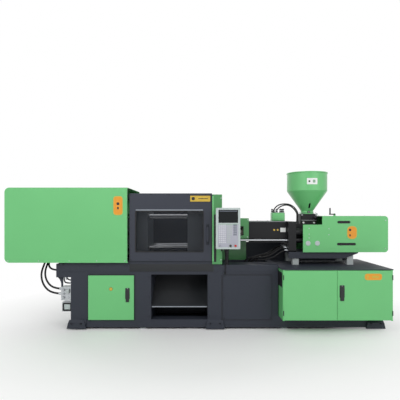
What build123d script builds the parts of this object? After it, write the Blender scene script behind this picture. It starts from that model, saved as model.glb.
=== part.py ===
from build123d import *
from math import cos, radians, sin, tan
import os

os.makedirs("parts", exist_ok=True)

# Horizontal injection moulding machine. X runs along the machine from the clamp to the injection end, the
# operator stands on the -Y side, and Z is up from the floor. Y values below are counted from the machine axis.
axis_y = 98.5
axis_z = 1205.0

# Clearances
slide_gap = 0.3
pin_gap = 0.05
layer_gap = 2.0
open_pivot_gap = 0.3

# Clamp bed
bed_half = 420.0
bed_bottom = 25.0
bed_top = 817.0
bed_left = -1617.0
bed_joint = 270.0
beam_left = -1800.0
beam_bottom = 650.0
bed_plate = 12.0
column_top = 690.0
seam_z = 715.0
seam_width = 5.0
seam_deep = 3.0
bed_shoe_x = (-1540.0, 190.0, 2190.0)
bed_shoe_size = (190.0, 30.0, 14.0, 118.0)
bed_shoe_flare = 24.0
pump_bay = (-1380.0, -842.0)
pump_bay_z = (139.0, 658.0)
chute_bay = (-611.0, 95.0)
chute_bay_z = (124.0, 685.0)
relief = 4.0
rear_guard_x = (290.0, 1120.0)
rear_guard_y = 302.0
rear_guard_top = 1045.0
rear_guard_hem = 12.0

# Injection bed and deck
deck_left = 977.0
injection_bed_right = 2290.0
injection_bed_top = 805.0
deck_low = 776.0
deck_thick = 8.0
cabinet_seat_z = 170.0
cabinet_back = -260.0
well_x = (330.0, 900.0)
well_half = 120.0
well_depth = 60.0

# Platens and tie bars
platen_size = 600.0
platen_corner = 30.0
platen_bite = 50.0
bar_spacing = 400.0
bar_radius = 35.0
platen_face = -160.0
fixed_thick = 220.0
moving_thick = 200.0
tail_thick = 180.0
foot_width = 80.0
mould_min = 300.0
mould_hole_radius = 8.0
mould_hole_depth = 40.0
mould_hole_pitch = 210.0
mould_hole_edge = 55.0
ring_radius = 62.5
ring_depth = 25.0
sprue_radius = 45.0
sprue_mouth = 110.0
nut_radius = 60.0
nut_length = 60.0

# Toggle: two equal links a side, so that the platen moves square while the links fold
link_length = 356.0
crosshead_arm = 170.0
fold_closed = 3.0
fold_rest = 45.0
pin_height = 120.0
main_pin = 28.0
small_pin = 20.0
main_eye = 45.0
small_eye = 30.0
ear_radius = 48.0
pin_stand = 120.0
tail_stand = 88.0
tongue_half = 20.0
arm_plate = 19.0
link_plate = 35.0
ear_plate = 24.0
crosshead_half = (45.0, 125.0, 60.0)
guide_radius = 18.0
guide_y = 95.0
guide_length = 480.0
rod_radius = 40.0
piston_radius = 70.0
piston_length = 50.0
cylinder_wall = 25.0
cylinder_stroke_room = 200.0
ejector_radius = 17.0
ejector_cylinder = (55.0, 180.0)

# Hoses
hose_radius = 9.0
clamp_hose_radius = 12.0
hose_ports = (-2000.0, -1960.0, -1920.0)
hose_port_y = -15.0
port_radius = 15.0
manifold_left = -1752.0
manifold_inset = 35.0
manifold_depth = 120.0
manifold_z = (355.0, 525.0)
hanger_plate = 20.0
hanger_foot = 22.0

# Clamp cover
cover_left = -2423.0
cover_right = -896.0
cover_half = 470.0
cover_bottom = 838.0
cover_top = 1770.0
cover_wall = 3.0
cover_corner = 60.0
cover_lip = 31.0
crease_z = (984.0, 1095.0)
crease = (7.0, 1.2)
tab_width = 24.0
tab_grip = 34.0
tab_x = (-930.0, -1300.0, -1750.0)

# Sliding safety doors
door_x = (-880.0, 150.0)
door_z = (856.0, 1700.0)
door_back = 410.0
door_thick = 30.0
window_x = (-800.0, 37.0)
window_z = (975.0, 1474.0)
window_corner = 12.0
pane_rebate = 6.0
pane_thick = 5.0
door_lip = 12.0
hook_reach = 32.0
hook_thick = 10.0
rail_left = -1700.0
top_rail = (22.0, 50.0)
door_handle = (95.0, 1100.0, 1280.0, 35.0, 20.0)

# Fixed platen guard
guard_x = (152.0, 275.0)
guard_half = 440.0
guard_inner = 310.0
guard_top = 1686.0
guard_soffit = 1556.0
sheet = 3.0

# Injection unit
hopper_x = 1454.0
barrel_radius = 55.0
barrel_front = 380.0
barrel_rear = 1545.0
screw_radius = 22.5
shank_radius = 30.0
nozzle_tip = 130.0
nozzle_radius = 25.0
head_radius = 70.0
head_length = 80.0
throat_half = 105.0
throat_bore = 30.0
throat_top = 1310.0
feed_x = (1150.0, 1250.0)
feed_half = 235.0
feed_top = 1345.0
injection_cylinder_y = 175.0
injection_cylinder = (52.0, 40.0, 300.0)
injection_rod = 22.0
drive_x = (1760.0, 1900.0)
drive_half = (230.0, 115.0)
carriage_cylinder_y = 190.0
carriage_cylinder_z = 1100.0
carriage_cylinder = (30.0, 22.0, 350.0)
carriage_rod = 11.0

# Carriage
guide_rod_radius = 22.0
guide_rod_y = 190.0
guide_rod_z = 895.0
guide_support_x = (1205.0, 1915.0)
guide_support = (80.0, 70.0, 35.0)
shoe_x = (1560.0, 1860.0)
carriage_x = (1150.0, 2050.0)
carriage_top = 950.0
carriage_plate = 16.0
skirt_bottom = 868.0
skirt_half = (232.0, 246.0)

# Covers of the injection unit
shroud_x = (1327.0, 2423.0)
shroud_half = 280.0
shroud_top = 1417.0
shroud_corner = 45.0
notch_right = 1574.0
notch_bottom = 1306.0
barrel_guard_left = 645.0
barrel_guard_half = 125.0
barrel_guard_z = (1065.0, 1350.0)
purge_x = (278.0, 645.0)
purge_half = 150.0
purge_z = (1120.0, 1387.0)

# Hopper
hopper_radius = 264.0
hopper_neck = 79.0
hopper_levels = (1446.0, 1484.0, 1751.0, 2000.0)
hopper_wall = 2.0
rim_bead = 5.0
hopper_base_x = (1352.0, 1568.0)
hopper_base_half = 80.0
gate_z = 1424.0
gate_thick = 8.0
gate_half = 50.0
gate_right = 1610.0

# Electric cabinet
cabinet_x = (987.0, 2298.0)
cabinet_front = -640.0
cabinet_top = 776.0
leaf_thick = 20.0
leaf_z = (178.0, 768.0)
leaf_seam = 1633.0
seam = 4.0
hinge_pin = 4.0
hinge_depth = 14.0

# Base door
base_door_x = (-1397.0, -825.0)
base_door_z = (122.0, 675.0)

# Controller
controller_x = (192.0, 484.0)
controller_z = (1020.0, 1516.0)
controller_front = -620.0
controller_back = -550.0
post_x = 338.0
post_y = -385.0
post_radius = 24.0
post_top = 1180.0
swivel_y = -505.0
swivel_radius = 12.0
button_x = (365.0, 426.0)
button_z = 1060.0
button_radius = 8.0
button_head = 14.0
button_travel = 4.0

# Worked out from the sizes above
beam_inner = platen_size / 2 - platen_bite
mould_pattern = (mould_hole_pitch, platen_size - 2 * mould_hole_edge)
fixed_back = platen_face + fixed_thick
closed_pin = platen_face - mould_min - moving_thick - pin_stand
tail_pin = closed_pin - 2 * link_length * cos(radians(fold_closed))
platen_pin = tail_pin + 2 * link_length * cos(radians(fold_rest))
moving_back = platen_pin + pin_stand
moving_face = moving_back + moving_thick
tail_face = tail_pin - tail_stand
tail_back = tail_face - tail_thick
crosshead_pin = tail_pin + 2 * crosshead_arm * cos(radians(fold_rest))
crosshead_reach = 2 * crosshead_arm * cos(radians(fold_closed))
arm_y = (tongue_half + layer_gap / 2, tongue_half + layer_gap / 2 + arm_plate)
rear_y = (arm_y[1] + layer_gap, arm_y[1] + layer_gap + link_plate)
front_y = (rear_y[1] + layer_gap, rear_y[1] + layer_gap + link_plate)
ear_y = (front_y[1] + layer_gap, front_y[1] + layer_gap + ear_plate)
inner_ear_y = (front_y[0] - layer_gap - ear_plate, front_y[0] - layer_gap)
door_front = door_back + door_thick
deck_top = deck_low + deck_thick
manifold_y = (manifold_inset - bed_half, manifold_inset + manifold_depth - bed_half)
hanger_low = manifold_z[1] + slide_gap
piston_front = tail_back - cylinder_wall - layer_gap
rod_length = tail_pin + crosshead_reach - crosshead_half[0] - piston_front + piston_length
cylinder_rear = tail_back - 2 * cylinder_wall - piston_length - cylinder_stroke_room


def plan(z):
    """Level sketch plane that looks down, with Y counted from the machine axis."""
    return Plane(origin=(0, axis_y, z), x_dir=(1, 0, 0), z_dir=(0, 0, 1))


def front(y):
    """Upright sketch plane in X and Z that extrudes towards the operator."""
    return Plane(origin=(0, axis_y + y, 0), x_dir=(1, 0, 0), z_dir=(0, -1, 0))


def side(x):
    """Upright sketch plane in Y and Z that extrudes towards the injection end."""
    return Plane(origin=(x, axis_y, 0), x_dir=(0, 1, 0), z_dir=(1, 0, 0))


middle = Plane(origin=(0, axis_y, 0), x_dir=(1, 0, 0), z_dir=(0, -1, 0))
machine_line = Axis((0, axis_y, axis_z), (1, 0, 0))


def block(x, y, z, mode=Mode.ADD):
    """Square-cut length between two stations on each axis."""
    with BuildSketch(plan(z[0])) as outline:
        with Locations(((x[0] + x[1]) / 2, (y[0] + y[1]) / 2)):
            Rectangle(x[1] - x[0], y[1] - y[0])
    extrude(outline.sketch, amount=z[1] - z[0], mode=mode)


def rod_x(x, y, z, radius, mode=Mode.ADD):
    """Round bar along X."""
    with BuildSketch(side(x[0])) as outline:
        with Locations((y, z)):
            Circle(radius)
    extrude(outline.sketch, amount=x[1] - x[0], mode=mode)


def rod_y(x, y, z, radius, mode=Mode.ADD):
    """Round bar along Y."""
    with BuildSketch(front(y[1])) as outline:
        with Locations((x, z)):
            Circle(radius)
    extrude(outline.sketch, amount=y[1] - y[0], mode=mode)


def rod_z(x, y, z, radius, mode=Mode.ADD):
    """Round bar along Z."""
    with BuildSketch(plan(z[0])) as outline:
        with Locations((x, y)):
            Circle(radius)
    extrude(outline.sketch, amount=z[1] - z[0], mode=mode)


def panel(x, z, y_front, depth, corner=0.0, mode=Mode.ADD):
    """Flat plate that faces the operator, y_front being its outer face."""
    with BuildSketch(front(y_front + depth)) as outline:
        with Locations(((x[0] + x[1]) / 2, (z[0] + z[1]) / 2)):
            if corner > 0:
                RectangleRounded(x[1] - x[0], z[1] - z[0], corner)
            else:
                Rectangle(x[1] - x[0], z[1] - z[0])
    extrude(outline.sketch, amount=depth, mode=mode)


def turned(points, mode=Mode.ADD):
    """Turned piece on the machine axis: each point is a station along X and a radius."""
    with BuildSketch(middle) as outline:
        with BuildLine() as edge:
            Polyline(*[(x, axis_z + radius) for x, radius in points], close=True)
        make_face(edge.edges())
    revolve(outline.sketch, axis=machine_line, mode=mode)


def keep(part, name):
    """Labels a finished piece and writes it to its own file."""
    part.label = name
    export_step(part, f"parts/{name}.step")


def inset(span, amount):
    """Both ends of a span moved inwards."""
    return (span[0] + amount, span[1] - amount)


def bed_seam(span):
    """Shadow groove along both flanks of a bed, where the top rail is welded to the frame below it."""
    for way in (-1, 1):
        deep = sorted((way * (bed_half - seam_deep), way * (bed_half + 1)))
        block(span, deep, (seam_z, seam_z + seam_width), mode=Mode.SUBTRACT)


def bed_shoe(x):
    """Pair of welded shoes on the flanks of a bed, flared towards the floor and sloped on top."""
    length, stand, low, high = bed_shoe_size
    for way in (-1, 1):
        root = way * bed_half
        with BuildSketch(side(x - length / 2 - bed_shoe_flare)) as outline:
            with BuildLine() as edge:
                Polyline(
                    (root, low),
                    (root + way * stand, low),
                    (root + way * stand, high - stand),
                    (root, high),
                    close=True,
                )
            make_face(edge.edges())
        extrude(outline.sketch, amount=length + 2 * bed_shoe_flare)
        for end in (-1, 1):
            corner = x + end * length / 2
            tip = x + end * (length / 2 + bed_shoe_flare + 1)
            near = min(root, root + way * (stand + 1))
            with BuildSketch(front(near + stand + 1)) as slope:
                with BuildLine() as edge:
                    Polyline((corner, high + 1), (tip, high + 1), (tip, low), close=True)
                make_face(edge.edges())
            extrude(slope.sketch, amount=stand + 1, mode=Mode.SUBTRACT)


# Clamp bed: box beams on columns, welded to a floor plate, open to the front for the pump bay and the chute
with BuildPart() as clamp_bed:
    with BuildSketch(front(-beam_inner)):
        with BuildLine():
            Polyline(
                (beam_left, beam_bottom),
                (beam_left, bed_top),
                (bed_joint, bed_top),
                (bed_joint, bed_bottom),
                (bed_left, bed_bottom),
                (bed_left, beam_bottom),
                close=True,
            )
        make_face()
        with Locations((sum(pump_bay) / 2, sum(pump_bay_z) / 2)):
            Rectangle(pump_bay[1] - pump_bay[0], pump_bay_z[1] - pump_bay_z[0], mode=Mode.SUBTRACT)
        with Locations((sum(chute_bay) / 2, sum(chute_bay_z) / 2)):
            Rectangle(chute_bay[1] - chute_bay[0], chute_bay_z[1] - chute_bay_z[0], mode=Mode.SUBTRACT)
    extrude(amount=bed_half - beam_inner)
    with BuildSketch(front(bed_half)):
        with BuildLine():
            Polyline(
                (beam_left, beam_bottom),
                (beam_left, bed_top),
                (bed_joint, bed_top),
                (bed_joint, bed_bottom),
                (bed_left, bed_bottom),
                (bed_left, beam_bottom),
                close=True,
            )
        make_face()
    extrude(amount=bed_half - beam_inner)
    cross = (-beam_inner, beam_inner)
    block((bed_left, bed_joint), cross, (bed_bottom, bed_bottom + bed_plate))
    block((bed_left, bed_left + bed_plate), cross, (bed_bottom, bed_top))
    block((pump_bay[1] + bed_plate, chute_bay[0]), cross, (bed_bottom, column_top))
    block((chute_bay[1], bed_joint), cross, (bed_bottom, column_top))
    for span in (base_door_x, chute_bay):
        panel(span, base_door_z, bed_half, relief, 20)
    for z, way in ((base_door_z[1], 1), (base_door_z[0], -1)):
        lug = sorted((z + way * slide_gap, z + way * (slide_gap + bed_plate)))
        hinge_x = base_door_x[0] + leaf_thick / 2
        hinge_y = -bed_half - slide_gap - leaf_thick / 2
        block(
            (base_door_x[0], base_door_x[0] + leaf_thick),
            (hinge_y - leaf_thick / 2, -bed_half),
            lug,
        )
        pin = sorted((z + way * slide_gap, z - way * hinge_depth))
        rod_z(hinge_x, hinge_y, pin, hinge_pin)
    bed_seam((beam_left - 1, bed_joint + 1))
    for x in bed_shoe_x[:2]:
        bed_shoe(x)
    with BuildSketch(front(manifold_y[0] + hanger_plate)):
        with BuildLine():
            Line((beam_left, beam_bottom + 1), (manifold_left + hanger_foot, beam_bottom + 1))
            Line((manifold_left + hanger_foot, beam_bottom + 1), (manifold_left + hanger_foot, hanger_low))
            Line((manifold_left + hanger_foot, hanger_low), (manifold_left, hanger_low))
            hollow = (beam_left + 0.7 * (manifold_left - beam_left), beam_bottom - 0.3 * (beam_bottom - hanger_low))
            ThreePointArc((manifold_left, hanger_low), hollow, (beam_left, beam_bottom + 1))
        make_face()
    extrude(amount=hanger_plate)
keep(clamp_bed.part, "clamp_bed")

# Injection bed: closed welded box, stepped back at the right to take the electric cabinet
with BuildPart() as injection_bed:
    block((bed_joint, deck_left), (-bed_half, bed_half), (bed_bottom, injection_bed_top))
    with BuildSketch(side(deck_left)):
        with BuildLine():
            Polyline(
                (-bed_half, bed_bottom),
                (bed_half, bed_bottom),
                (bed_half, deck_low),
                (cabinet_back, deck_low),
                (cabinet_back, cabinet_seat_z),
                (-bed_half, cabinet_seat_z),
                close=True,
            )
        make_face()
    extrude(amount=injection_bed_right - deck_left)
    panel((bed_joint + 18, deck_left - 82), base_door_z, -bed_half - relief, relief, 6)
    bay = (injection_bed_right - bed_joint) / 3
    for i in range(3):
        left = bed_joint + i * bay
        panel((left + 30, left + bay - 30), base_door_z, bed_half, relief, 20)
    well = (injection_bed_top - well_depth, injection_bed_top)
    block(well_x, (-well_half, well_half), well, mode=Mode.SUBTRACT)
    bed_seam((bed_joint - 1, deck_left - 82))
    bed_shoe(bed_shoe_x[2])
    rear_guard = (rear_guard_y, rear_guard_y + sheet)
    block(rear_guard_x, rear_guard, (injection_bed_top, rear_guard_top))
    hem = (rear_guard_y - rear_guard_hem, rear_guard_y + sheet)
    block(rear_guard_x, hem, (rear_guard_top - sheet, rear_guard_top))
keep(injection_bed.part, "injection_bed")

# Deck sheet over the cabinet and the right half of the bed
with BuildPart() as deck:
    deck_front = cabinet_front - slide_gap - leaf_thick - 2
    with BuildSketch(plan(deck_low)):
        with Locations(((deck_left + cabinet_x[1] + 8) / 2, (deck_front + bed_half) / 2)):
            RectangleRounded(cabinet_x[1] + 8 - deck_left, bed_half - deck_front, 12)
    extrude(amount=deck_thick)
    chamfer(deck.faces().sort_by(Axis.Z)[-1].edges(), 3)
keep(deck.part, "deck")

# Levelling feet under both beds
with BuildPart() as levelling_feet:
    foot_pad = 55.0
    foot_stations = (-1540.0, -720.0, 190.0, 1060.0, 2230.0)
    foot_y = 350.0
    for x in foot_stations:
        for y in (-foot_y, foot_y):
            rod_z(x, y, (0, 12), foot_pad)
            rod_z(x, y, (12, bed_bottom), foot_pad / 3)
keep(levelling_feet.part, "levelling_feet")

# Product chute: one folded sheet that slopes down to the front
with BuildPart() as product_chute:
    chute_low = 291.0
    chute_high = 640.0
    chute_front = -400.0
    chute_lip = 24.0
    with BuildSketch(side(chute_bay[0])):
        with BuildLine():
            Polyline(
                (chute_front, chute_low - chute_lip),
                (chute_front, chute_low),
                (beam_inner, chute_high),
                (beam_inner, chute_high - sheet),
                (chute_front + sheet, chute_low - sheet),
                (chute_front + sheet, chute_low - chute_lip),
                close=True,
            )
        make_face()
    extrude(amount=chute_bay[1] - chute_bay[0])
keep(product_chute.part, "product_chute")

# Oil tank with the servo motor and pump standing on it
with BuildPart() as power_unit:
    tank_x = inset((bed_left + bed_plate, pump_bay[1] + bed_plate), 20)
    tank_y = (-30.0, beam_inner - 15)
    tank_top = 400.0
    motor_radius = 100.0
    motor_length = 320.0
    pump_radius = 60.0
    pump_length = 180.0
    motor_y = sum(tank_y) / 2
    motor_z = tank_top + motor_radius + 30
    motor_left = tank_x[0] + 60
    block(tank_x, tank_y, (bed_bottom + bed_plate, tank_top))
    fillet(power_unit.edges().filter_by(Axis.Z), 15)
    rod_x((motor_left, motor_left + motor_length), motor_y, motor_z, motor_radius)
    coupling_x = motor_left + motor_length
    rod_x((coupling_x, coupling_x + pump_length), motor_y, motor_z, pump_radius)
    block(
        (coupling_x + 10, coupling_x + pump_length - 40),
        (motor_y - pump_radius, motor_y + pump_radius),
        (tank_top, motor_z),
    )
    block(
        (motor_left + 40, coupling_x - 40),
        (motor_y - motor_radius / 2, motor_y + motor_radius / 2),
        (tank_top, motor_z),
    )
keep(power_unit.part, "power_unit")


def platen(x, thick, foot_bottom):
    """Cast platen between two X stations, with feet over the bed rails and holes for the four tie bars."""
    with BuildSketch(side(x)) as outline:
        with Locations((0, axis_z)):
            RectangleRounded(platen_size, platen_size, platen_corner)
        foot_top = axis_z - platen_size / 2 + foot_width
        for way in (-1, 1):
            with Locations((way * (beam_inner + foot_width / 2), (foot_top + foot_bottom) / 2)):
                Rectangle(foot_width, foot_top - foot_bottom)
        with Locations((0, axis_z)):
            with GridLocations(bar_spacing, bar_spacing, 2, 2):
                Circle(bar_radius + slide_gap, mode=Mode.SUBTRACT)
    extrude(outline.sketch, amount=thick)


def mould_holes(x, way):
    """Blind tapped holes for clamping a mould, on a face whose outside is towards way along X."""
    start = sorted((x, x - way * mould_hole_depth))
    with BuildSketch(side(start[0])) as outline:
        with Locations((0, axis_z)):
            with GridLocations(mould_pattern[0], mould_pattern[1], 2, 2):
                Circle(mould_hole_radius)
            with GridLocations(mould_pattern[1], mould_pattern[0], 2, 2):
                Circle(mould_hole_radius)
    extrude(outline.sketch, amount=mould_hole_depth, mode=Mode.SUBTRACT)


def ears(pin_x, root_x, layers, way):
    """Eye plates that carry a cross pin in front of a platen, at one height."""
    pin_z = axis_z + way * pin_height
    for layer in layers:
        with BuildSketch(front(layer[1])) as outline:
            with Locations((pin_x, pin_z)):
                Circle(ear_radius)
            with Locations(((pin_x + root_x) / 2, pin_z)):
                Rectangle(abs(root_x - pin_x), 2 * ear_radius)
        extrude(outline.sketch, amount=layer[1] - layer[0])


def mirrored(layer):
    """The same layer on the far side of the machine axis."""
    return (-layer[1], -layer[0])


# Fixed platen: locating ring recess, sprue hole that opens out for the nozzle, mould holes
with BuildPart() as fixed_platen:
    platen(platen_face, fixed_thick, bed_top)
    cone_start = platen_face + ring_depth + 60
    turned(
        (
            (platen_face, 0),
            (platen_face, ring_radius),
            (platen_face + ring_depth, ring_radius),
            (platen_face + ring_depth, sprue_radius),
            (cone_start, sprue_radius),
            (fixed_back, sprue_mouth),
            (fixed_back, 0),
        ),
        mode=Mode.SUBTRACT,
    )
    mould_holes(platen_face, -1)
keep(fixed_platen.part, "fixed_platen")

# Tail platen: ears and pins for the rear links, guide rods for the crosshead, bore for the piston rod
with BuildPart() as tail_platen:
    platen(tail_back, tail_thick, bed_top)
    for way in (-1, 1):
        ears(tail_pin, tail_face, (mirrored(front_y), mirrored((-arm_y[1], arm_y[1])), front_y), way)
        rod_y(tail_pin, (-front_y[1], front_y[1]), axis_z + way * pin_height, main_pin)
        rod_x((tail_face, tail_face + guide_length), way * guide_y, axis_z, guide_radius)
    rod_x((tail_back, tail_face), 0, axis_z, rod_radius + 5, mode=Mode.SUBTRACT)
keep(tail_platen.part, "tail_platen")

# Moving platen: ears and pins for the front links, ejector cylinder, feet that slide on the bed rails
with BuildPart() as moving_platen:
    platen(moving_back, moving_thick, bed_top + slide_gap)
    layers = (mirrored(ear_y), mirrored(inner_ear_y), inner_ear_y, ear_y)
    for way in (-1, 1):
        ears(platen_pin, moving_back, layers, way)
        for pin in ((inner_ear_y[0], ear_y[1]), mirrored((inner_ear_y[0], ear_y[1]))):
            rod_y(platen_pin, pin, axis_z + way * pin_height, main_pin)
    rod_x((moving_back - ejector_cylinder[1], moving_back), 0, axis_z, ejector_cylinder[0])
    ejector_bore = (moving_back - ejector_cylinder[1] + 20, moving_face)
    rod_x(ejector_bore, 0, axis_z, ejector_radius + pin_gap, mode=Mode.SUBTRACT)
    mould_holes(moving_face, 1)
keep(moving_platen.part, "moving_platen")

# Ejector rod inside the moving platen
with BuildPart() as ejector_rod:
    ejector_retract = 10.0
    rod_x((ejector_bore[0] + 5, moving_face - ejector_retract), 0, axis_z, ejector_radius)
    chamfer(ejector_rod.faces().sort_by(Axis.X)[-1].edges(), 2)
keep(ejector_rod.part, "ejector_rod")

# Four tie bars with a round nut at each end
with BuildPart() as tie_bars:
    for y in (-bar_spacing / 2, bar_spacing / 2):
        for z in (axis_z - bar_spacing / 2, axis_z + bar_spacing / 2):
            rod_x((tail_back - nut_length - 15, fixed_back + nut_length + 10), y, z, bar_radius)
            rod_x((tail_back - nut_length, tail_back), y, z, nut_radius)
            rod_x((fixed_back, fixed_back + nut_length), y, z, nut_radius)
keep(tie_bars.part, "tie_bars")


def link_plane(start, y, angle):
    """Sketch plane along a link, from its first pin, that extrudes towards the operator."""
    turn = radians(angle)
    return Plane(
        origin=(start[0], axis_y + y, start[1]),
        x_dir=(cos(turn), 0, sin(turn)),
        z_dir=(0, -1, 0),
    )


def link_pair(start, angle, length, eye, layer, bores):
    """Two eye-ended plates, one each side of the machine axis, with pin bores along their centre line."""
    for span in (layer, mirrored(layer)):
        with BuildSketch(link_plane(start, span[1], angle)) as outline:
            with Locations((length / 2, 0)):
                SlotCenterToCenter(length, 2 * eye)
            for along, radius in bores:
                with Locations((along, 0)):
                    Circle(radius, mode=Mode.SUBTRACT)
        extrude(outline.sketch, amount=span[1] - span[0])


def along_link(start, angle, distance):
    """Point in X and Z at a distance along a link."""
    turn = radians(angle)
    return (start[0] + distance * cos(turn), start[1] + distance * sin(turn))


# Toggle links, folded outwards at rest; the lower half mirrors the upper one
for name, way in (("upper", 1), ("lower", -1)):
    tail_joint = (tail_pin, axis_z + way * pin_height)
    rear_angle = way * fold_rest
    knee = along_link(tail_joint, rear_angle, link_length)
    arm_joint = along_link(tail_joint, rear_angle, crosshead_arm)
    loose = pin_gap if way == 1 else open_pivot_gap

    with BuildPart() as rear_link:
        link_pair(tail_joint, rear_angle, link_length, main_eye, rear_y, ((0, main_pin + pin_gap),))
        rod_y(arm_joint[0], (-rear_y[1], rear_y[1]), arm_joint[1], small_pin)
        for span in ((rear_y[0], front_y[1]), mirrored((rear_y[0], front_y[1]))):
            rod_y(knee[0], span, knee[1], main_pin)
    keep(rear_link.part, f"{name}_rear_link")

    with BuildPart() as front_link:
        bores = ((0, main_pin + pin_gap), (link_length, main_pin + loose))
        link_pair(knee, -rear_angle, link_length, main_eye, front_y, bores)
    keep(front_link.part, f"{name}_front_link")

    with BuildPart() as crosshead_link:
        bores = ((0, small_pin + pin_gap), (crosshead_arm, small_pin + loose))
        link_pair(arm_joint, -rear_angle, crosshead_arm, small_eye, arm_y, bores)
    keep(crosshead_link.part, f"{name}_crosshead_link")

# Crosshead with its tongues and pins, the piston rod and the piston
with BuildPart() as crosshead:
    half_x, half_y, half_z = crosshead_half
    block(
        (crosshead_pin - half_x, crosshead_pin + half_x),
        (-half_y, half_y),
        (axis_z - half_z, axis_z + half_z),
    )
    fillet(crosshead.edges().filter_by(Axis.Y), 12)
    with BuildSketch(front(tongue_half)):
        with Locations((crosshead_pin, axis_z)):
            SlotCenterToCenter(2 * pin_height, 2 * small_eye + 8, rotation=90)
    extrude(amount=2 * tongue_half)
    for way in (-1, 1):
        rod_y(crosshead_pin, (-arm_y[1], arm_y[1]), axis_z + way * pin_height, small_pin)
        span = (crosshead_pin - half_x, crosshead_pin + half_x)
        rod_x(span, way * guide_y, axis_z, guide_radius + slide_gap, mode=Mode.SUBTRACT)
    rod_end = crosshead_pin - half_x - rod_length
    rod_x((rod_end, crosshead_pin - half_x), 0, axis_z, rod_radius)
    rod_x((rod_end, rod_end + piston_length), 0, axis_z, piston_radius)
keep(crosshead.part, "crosshead")

# Clamp cylinder behind the tail platen
with BuildPart() as clamp_cylinder:
    bore = piston_radius + slide_gap
    outer = bore + cylinder_wall
    turned(
        (
            (tail_back, rod_radius + 5),
            (tail_back, outer + 25),
            (tail_back - cylinder_wall, outer + 25),
            (tail_back - cylinder_wall, outer),
            (cylinder_rear, outer),
            (cylinder_rear, 0),
            (cylinder_rear + cylinder_wall, 0),
            (cylinder_rear + cylinder_wall, bore),
            (tail_back - cylinder_wall, bore),
            (tail_back - cylinder_wall, rod_radius + 5),
        )
    )
    port_stand = 8.0
    clamp_port = axis_z - outer - port_stand
    for x in hose_ports:
        rod_z(x, hose_port_y, (clamp_port, axis_z - outer + 6), port_radius)
keep(clamp_cylinder.part, "clamp_cylinder")

# Clamp cover: folded sheet hood, open at the mould side and below, with tabs to the bed
with BuildPart() as clamp_cover:
    with BuildSketch(front(cover_half)):
        with Locations(((cover_left + cover_right) / 2, (cover_bottom + cover_top) / 2)):
            Rectangle(cover_right - cover_left, cover_top - cover_bottom)
        fillet(vertices().group_by(Axis.X)[0], cover_corner)
    extrude(amount=2 * cover_half)
    with BuildSketch(front(cover_half - cover_wall)):
        with Locations(
            (
                (cover_left + cover_wall + cover_right + cover_wall) / 2,
                (cover_bottom + cover_top) / 2,
            )
        ):
            Rectangle(cover_right - cover_left, cover_top - cover_bottom - 2 * cover_wall)
        fillet(vertices().group_by(Axis.X)[0], cover_corner - cover_wall)
    extrude(amount=2 * (cover_half - cover_wall), mode=Mode.SUBTRACT)
    block(
        (cover_left + cover_corner, cover_right + 1),
        (-cover_half + cover_lip, cover_half - cover_lip),
        (cover_bottom - 1, cover_bottom + cover_wall + 1),
        mode=Mode.SUBTRACT,
    )
    crease_width, crease_deep = crease
    for way in (-1, 1):
        groove = sorted((way * (cover_half - crease_deep), way * (cover_half + 1)))
        for z in crease_z:
            span = (cover_left - 1, cover_right + 1)
            block(span, groove, (z - crease_width / 2, z + crease_width / 2), mode=Mode.SUBTRACT)
        for x in tab_x:
            reach = sorted((way * bed_half, way * (cover_half - cover_lip + 2)))
            block((x, x + tab_width), reach, (cover_bottom, cover_bottom + cover_wall))
            tab = sorted((way * bed_half, way * (bed_half + cover_wall)))
            block((x, x + tab_width), tab, (bed_top - tab_grip, cover_bottom + cover_wall))
keep(clamp_cover.part, "clamp_cover")


def door_leaf(way):
    """Sliding safety door frame: window, pane rebate, hook over the top rail, pull handle."""
    near = min(way * door_back, way * door_front)
    panel(door_x, door_z, near, door_thick, 0)
    panel(window_x, window_z, near - 1, door_thick + 2, window_corner, Mode.SUBTRACT)
    rebate_x = inset(window_x, -pane_rebate)
    rebate_z = inset(window_z, -pane_rebate)
    rebate = near + door_lip if way < 0 else near
    panel(rebate_x, rebate_z, rebate, door_thick - door_lip, window_corner, Mode.SUBTRACT)
    hook = sorted((way * (door_back - hook_reach), way * door_back))
    block(door_x, hook, (door_z[1] - hook_thick, door_z[1]))
    handle_x, low, high, stand, width = door_handle
    with BuildSketch(side(handle_x - width / 2)) as outline:
        with Locations((way * (door_front + stand / 2), (low + high) / 2)):
            Rectangle(stand, high - low)
        with Locations((way * (door_front + stand / 2 - width / 2), (low + high) / 2)):
            Rectangle(stand - width / 2 + 2, high - low - 2 * width, mode=Mode.SUBTRACT)
    extrude(outline.sketch, amount=width)


def door_pane(way):
    """Clear pane held in the rebate of a safety door."""
    x = inset(window_x, slide_gap - pane_rebate)
    z = inset(window_z, slide_gap - pane_rebate)
    inner = way * (door_front - door_lip)
    panel(x, z, min(inner, inner - way * pane_thick), pane_thick, window_corner)


for name, way in (("front", -1), ("rear", 1)):
    with BuildPart() as safety_door:
        door_leaf(way)
    keep(safety_door.part, f"{name}_door")
    with BuildPart() as safety_pane:
        door_pane(way)
    keep(safety_pane.part, f"{name}_door_pane")

# Rails: the doors hang on the upper ones and run just clear of the lower ones
with BuildPart() as door_rails:
    rail_thick, rail_height = top_rail
    rail_top = door_z[1] - hook_thick - slide_gap
    rail_out = door_back - 4.0
    platen_top = axis_z + platen_size / 2
    bracket_in = platen_size / 2 - 2 * platen_corner
    for way in (-1, 1):
        outer = sorted((way * (rail_out - rail_thick), way * rail_out))
        block((rail_left, guard_x[0]), outer, (rail_top - rail_height, rail_top))
        reach = sorted((way * bracket_in, way * rail_out))
        bracket_x = (rail_left, rail_left + 60)
        block(bracket_x, reach, (rail_top - 12, rail_top))
        foot = sorted((way * bracket_in, way * (bracket_in + 12)))
        block(bracket_x, foot, (platen_top, rail_top))
        lower = sorted((way * (bed_half - 16), way * (bed_half - 2)))
        block((rail_left, guard_x[0]), lower, (bed_top, door_z[0] - slide_gap))
keep(door_rails.part, "door_rails")

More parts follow.
